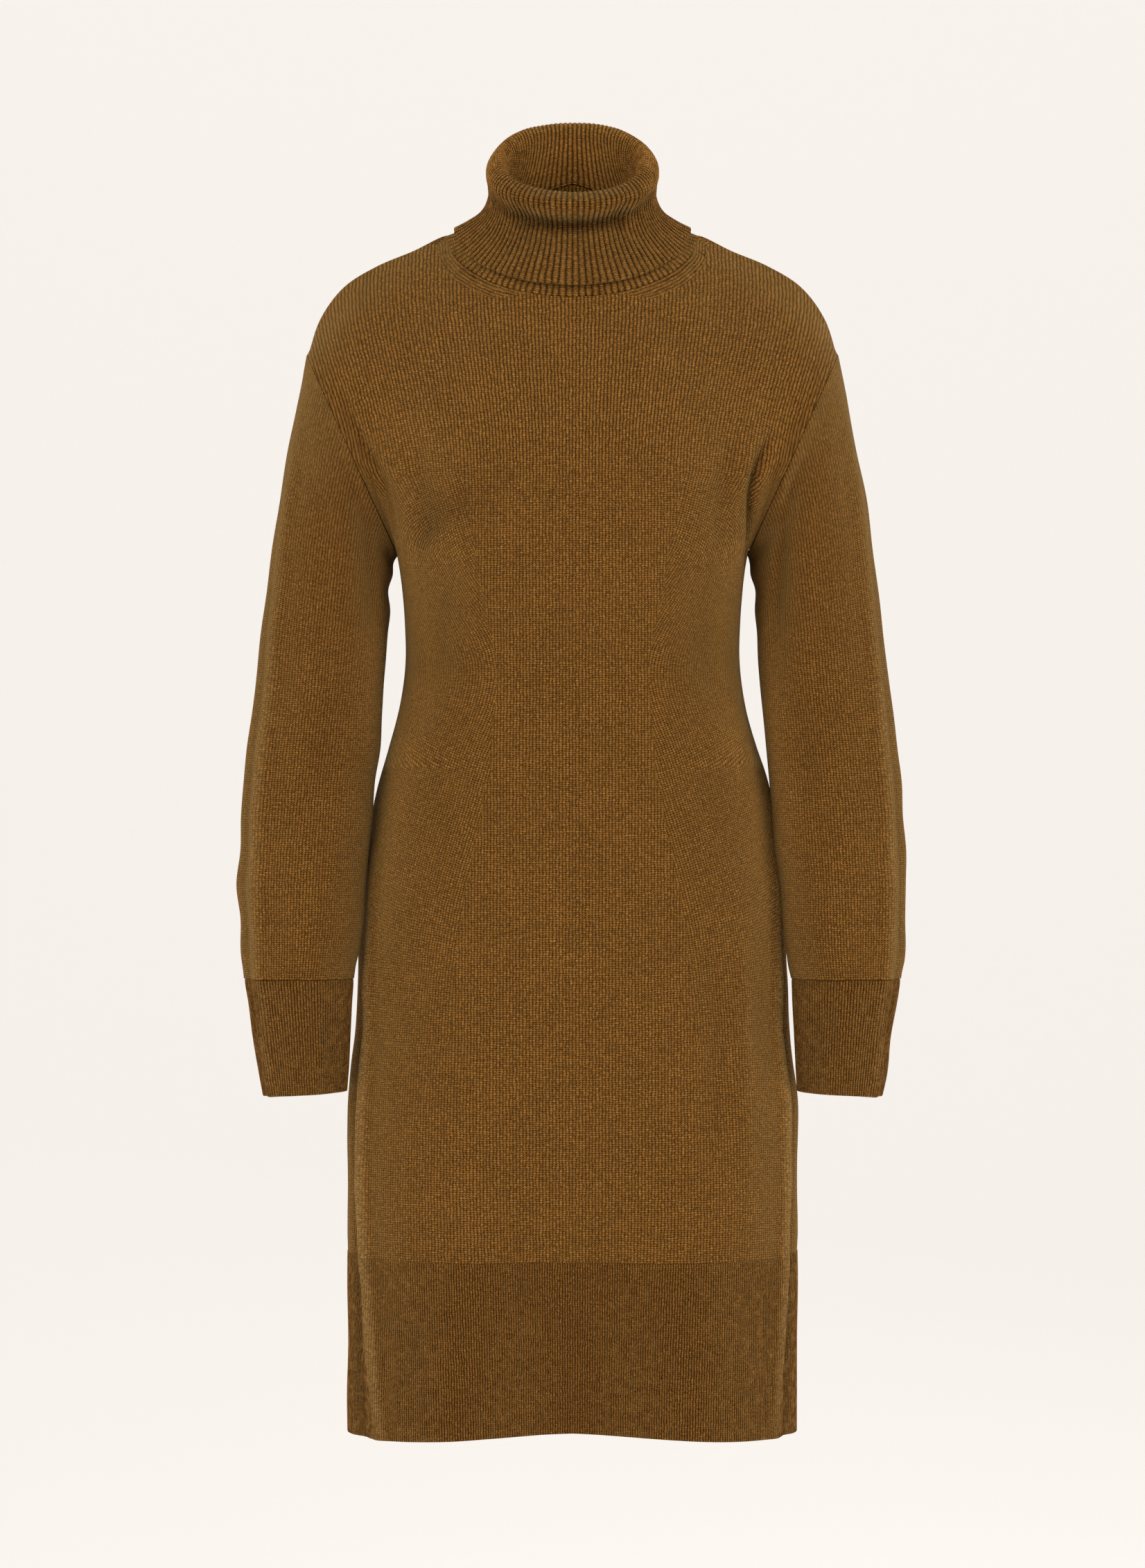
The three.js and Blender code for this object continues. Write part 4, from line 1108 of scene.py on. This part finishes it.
# Collar: creases, as lines of places (angle from the middle of the front, distance along the cloth
# from the neck seam) with their depth and half width
COLLAR_CREASES = [
    (((-84, 106), (-40, 110), (0, 111), (44, 109), (86, 105)), -3.3, 7),
    (((-74, 90), (-34, 92), (0, 93), (36, 92), (76, 89)), 1.8, 6),
    (((34, 92), (30, 108), (36, 128)), -1.6, 5),
    (((46, 88), (42, 106), (44, 122)), 1.2, 5),
    (((318, 90), (326, 108), (322, 126)), -1.2, 6),
    (((8, 94), (0, 102), (352, 104)), -0.8, 6),
    (((66, 84), (62, 104), (70, 124)), -1.0, 7),
    (((290, 86), (298, 108), (292, 128)), -0.9, 7),
    (((150, 70), (160, 96), (152, 140)), -1.0, 9),
    (((206, 72), (198, 100), (210, 136)), -1.2, 9),
]

# The row of links along the neckline: how deep it is, how far it stands out, and the places of the
# rows of points that draw it
LINK_DEPTH = 1.9
LINK_RELIEF = 0.85
LINK_ROWS = [0.7, 1.2, LINK_DEPTH, LINK_DEPTH + 0.6]


def collar():
    """The ribbed collar, with the row of links that joins it to the neckline."""
    columns = COLLAR_RIBS * RIB_SAMPLES
    rings = np.array([collar_line(ring, 0, 360, columns)[:-1] for ring in COLLAR_RINGS])
    up = rings[1] - rings[0]
    rings[0] += up * (NECK_GAP / np.linalg.norm(up, axis=1))[:, None]
    at = row_lengths(rings)
    row_places = edged(at[-1], ROW_STEP["collar"])
    above = row_places[row_places > LINK_DEPTH + 1.2]
    row_places = np.concatenate([row_places[:3], LINK_ROWS, above])
    grid = along(at, rings, row_places)
    uv = rib_places(row_places, columns + 1, RIB_SAMPLES, COLLAR_RIB_PITCH)
    turn, down = np.meshgrid(np.arange(columns) / columns * 360, row_places)
    crease = crease_field(turn, down, COLLAR_CREASES) + crease_field(turn - 360, down, COLLAR_CREASES)
    push = crease + soft_noise(grid.shape[:2], *NOISE["collar"], closed=True)
    push *= smoothstep(down, 20, 50) * smoothstep(at[-1] - down, 0, CALM)
    grid = pushed(grid, push, True)
    from_edge = np.minimum(row_places, row_places[-1] - row_places)[:, None]
    rib = rib_profile(COLLAR_RIBS, RIB_SAMPLES)[None, :-1]
    link = 1 - np.abs(2 * ((np.arange(columns) * 2 / RIB_SAMPLES + 0.5) % 1) - 1) ** 2
    in_links = np.clip((row_places - LINK_DEPTH / 2) / (LINK_DEPTH / 2), -1, 1)
    bead = 0.5 + 0.5 * np.cos(in_links * math.pi)
    above_links = smoothstep(row_places, LINK_DEPTH * 0.8, LINK_DEPTH + 1.4)
    relief = RIB_RELIEF["collar"] * rib * above_links[:, None]
    relief = relief + LINK_RELIEF * bead[:, None] * (0.55 + 0.45 * link[None])
    out = (HALF_WALL + relief) * lip_factor(from_edge)

    # Painted light inside and on the sides of the roll, painted shade in front, most of all under the
    # roll. The troughs of the creases get a stronger painted shade and their crests a weaker
    # highlight.
    facing = np.cos(np.radians(turn))
    front = smoothstep(facing, 0.1, 0.8)
    ahead = smoothstep(facing, 0.45, 0.97)
    inside = 1 - smoothstep(down, 46, 74)
    roll = smoothstep(down, 60, 78) * (1 - smoothstep(down, 92, 106))
    under_roll = np.exp(-((down - 111) / 7) ** 2)
    pale = 2.6 * inside + roll * (1.6 * (1 - front) - 0.6 * front)
    pale = pale - 1.35 * ahead * under_roll - 0.45 * front * smoothstep(down, 112, 130)
    return shell("knit_turtleneck_collar", grid, out, uv, True, (3, RIB_SAMPLES), collar_knit,
                 crease * np.where(crease < 0, 2.2, 0.9), pale=pale)


def dress_piece(piece, cad_node):
    """Hangs a piece on the root and hides the solid that it stands for."""
    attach(piece, "root")
    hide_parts(cad_node)


front = panel("front")
back = panel("back")
dress_piece(front, "front_panel")
dress_piece(back, "back_panel")
for side in ("left", "right"):
    dress_piece(sleeve(side), f"{side}_sleeve")
    dress_piece(cuff(side), f"{side}_cuff")
dress_piece(hem("front"), "front_hem_rib")
dress_piece(hem("back"), "back_hem_rib")
dress_piece(collar(), "turtleneck_collar")


# Camera, level with the middle of the photograph, as far off and as narrow as shows it whole
centre_z = -(PHOTO_HEIGHT / 2 - ORIGIN_ROW) * MM_PER_PIXEL * MM
camera_data = bpy.data.cameras.new("camera")
camera_data.sensor_fit = "VERTICAL"
camera_data.sensor_height = SENSOR
camera_data.lens = SENSOR * CAMERA_DISTANCE / (PHOTO_HEIGHT * MM_PER_PIXEL * MM)
camera_data.clip_end = 60
camera = bpy.data.objects.new("camera", camera_data)
camera.location = (0, -CAMERA_DISTANCE, centre_z)
camera.rotation_euler = (math.pi / 2, 0, 0)
bpy.context.collection.objects.link(camera)
bpy.context.scene.camera = camera


# Floor, running up behind in one soft curve, in metres
FLOOR_Z = -1.42
FLOOR_FRONT_Y = -12.0
FLOOR_HALF_WIDTH = 10.0
WALL_Y = 5.6
WALL_TOP_Z = 5.5
BEND = 2.6
BEND_STEPS = 16


def floor():
    """The floor and the wall behind, in one sheet."""
    profile = [(FLOOR_FRONT_Y, FLOOR_Z)]
    for step in range(BEND_STEPS + 1):
        angle = step / BEND_STEPS * math.pi / 2
        y = WALL_Y - BEND + BEND * math.sin(angle)
        profile.append((y, FLOOR_Z + BEND * (1 - math.cos(angle))))
    profile.append((WALL_Y, WALL_TOP_Z))
    places = [(x, y, z) for y, z in profile for x in (-FLOOR_HALF_WIDTH, FLOOR_HALF_WIDTH)]
    faces = [(2 * i, 2 * i + 1, 2 * i + 3, 2 * i + 2) for i in range(len(profile) - 1)]
    mesh = bpy.data.meshes.new("floor")
    mesh.from_pydata(places, [], faces)
    mesh.polygons.foreach_set("use_smooth", [True] * len(faces))
    ground = bpy.data.objects.new("floor", mesh)
    bpy.context.collection.objects.link(ground)
    material = bpy.data.materials.new("pale floor")
    material.use_nodes = True
    surface = material.node_tree.nodes["Principled BSDF"]
    surface.inputs["Base Color"].default_value = (0.86, 0.84, 0.84, 1)
    surface.inputs["Roughness"].default_value = 0.9
    surface.inputs["Emission Color"].default_value = (0.9, 0.862, 0.812, 1)
    surface.inputs["Emission Strength"].default_value = 0.20
    mesh.materials.append(material)


floor()


WARM_WHITE = (1.0, 0.975, 0.93)


def softbox(name, place_at, aim, size, power):
    """A rectangular light that shines from one place towards another."""
    data = bpy.data.lights.new(name, "AREA")
    data.shape = "RECTANGLE"
    data.size, data.size_y = size
    data.energy = power
    data.color = WARM_WHITE
    light = bpy.data.objects.new(name, data)
    light.location = place_at
    way = np.array(aim) - np.array(place_at)
    yaw = math.atan2(way[0], -way[1])
    pitch = math.atan2(math.hypot(way[0], way[1]), -way[2])
    light.rotation_euler = (pitch, 0, math.pi + yaw)
    light.visible_camera = False
    bpy.context.collection.objects.link(light)


softbox("key", (-1.0, -2.8, 2.3), (0, 0, -0.4), (1.8, 1.6), 16)
softbox("fill", (1.9, -2.8, 0.2), (0, 0, -0.5), (1.6, 2.2), 8)
softbox("left side", (-1.9, -1.8, -0.5), (0, 0, -0.5), (1.2, 2.0), 16.5)
softbox("right side", (1.9, -1.8, -0.5), (0, 0, -0.5), (1.2, 2.0), 19)
softbox("back", (0.8, 3.0, 1.1), (0, 0, -0.45), (1.8, 1.8), 12)

world = bpy.data.worlds.new("studio")
world.use_nodes = True
world.node_tree.nodes["Background"].inputs["Color"].default_value = (*WARM_WHITE, 1)
world.node_tree.nodes["Background"].inputs["Strength"].default_value = 0.75
bpy.context.scene.world = world
bpy.context.scene.view_settings.view_transform = "Standard"
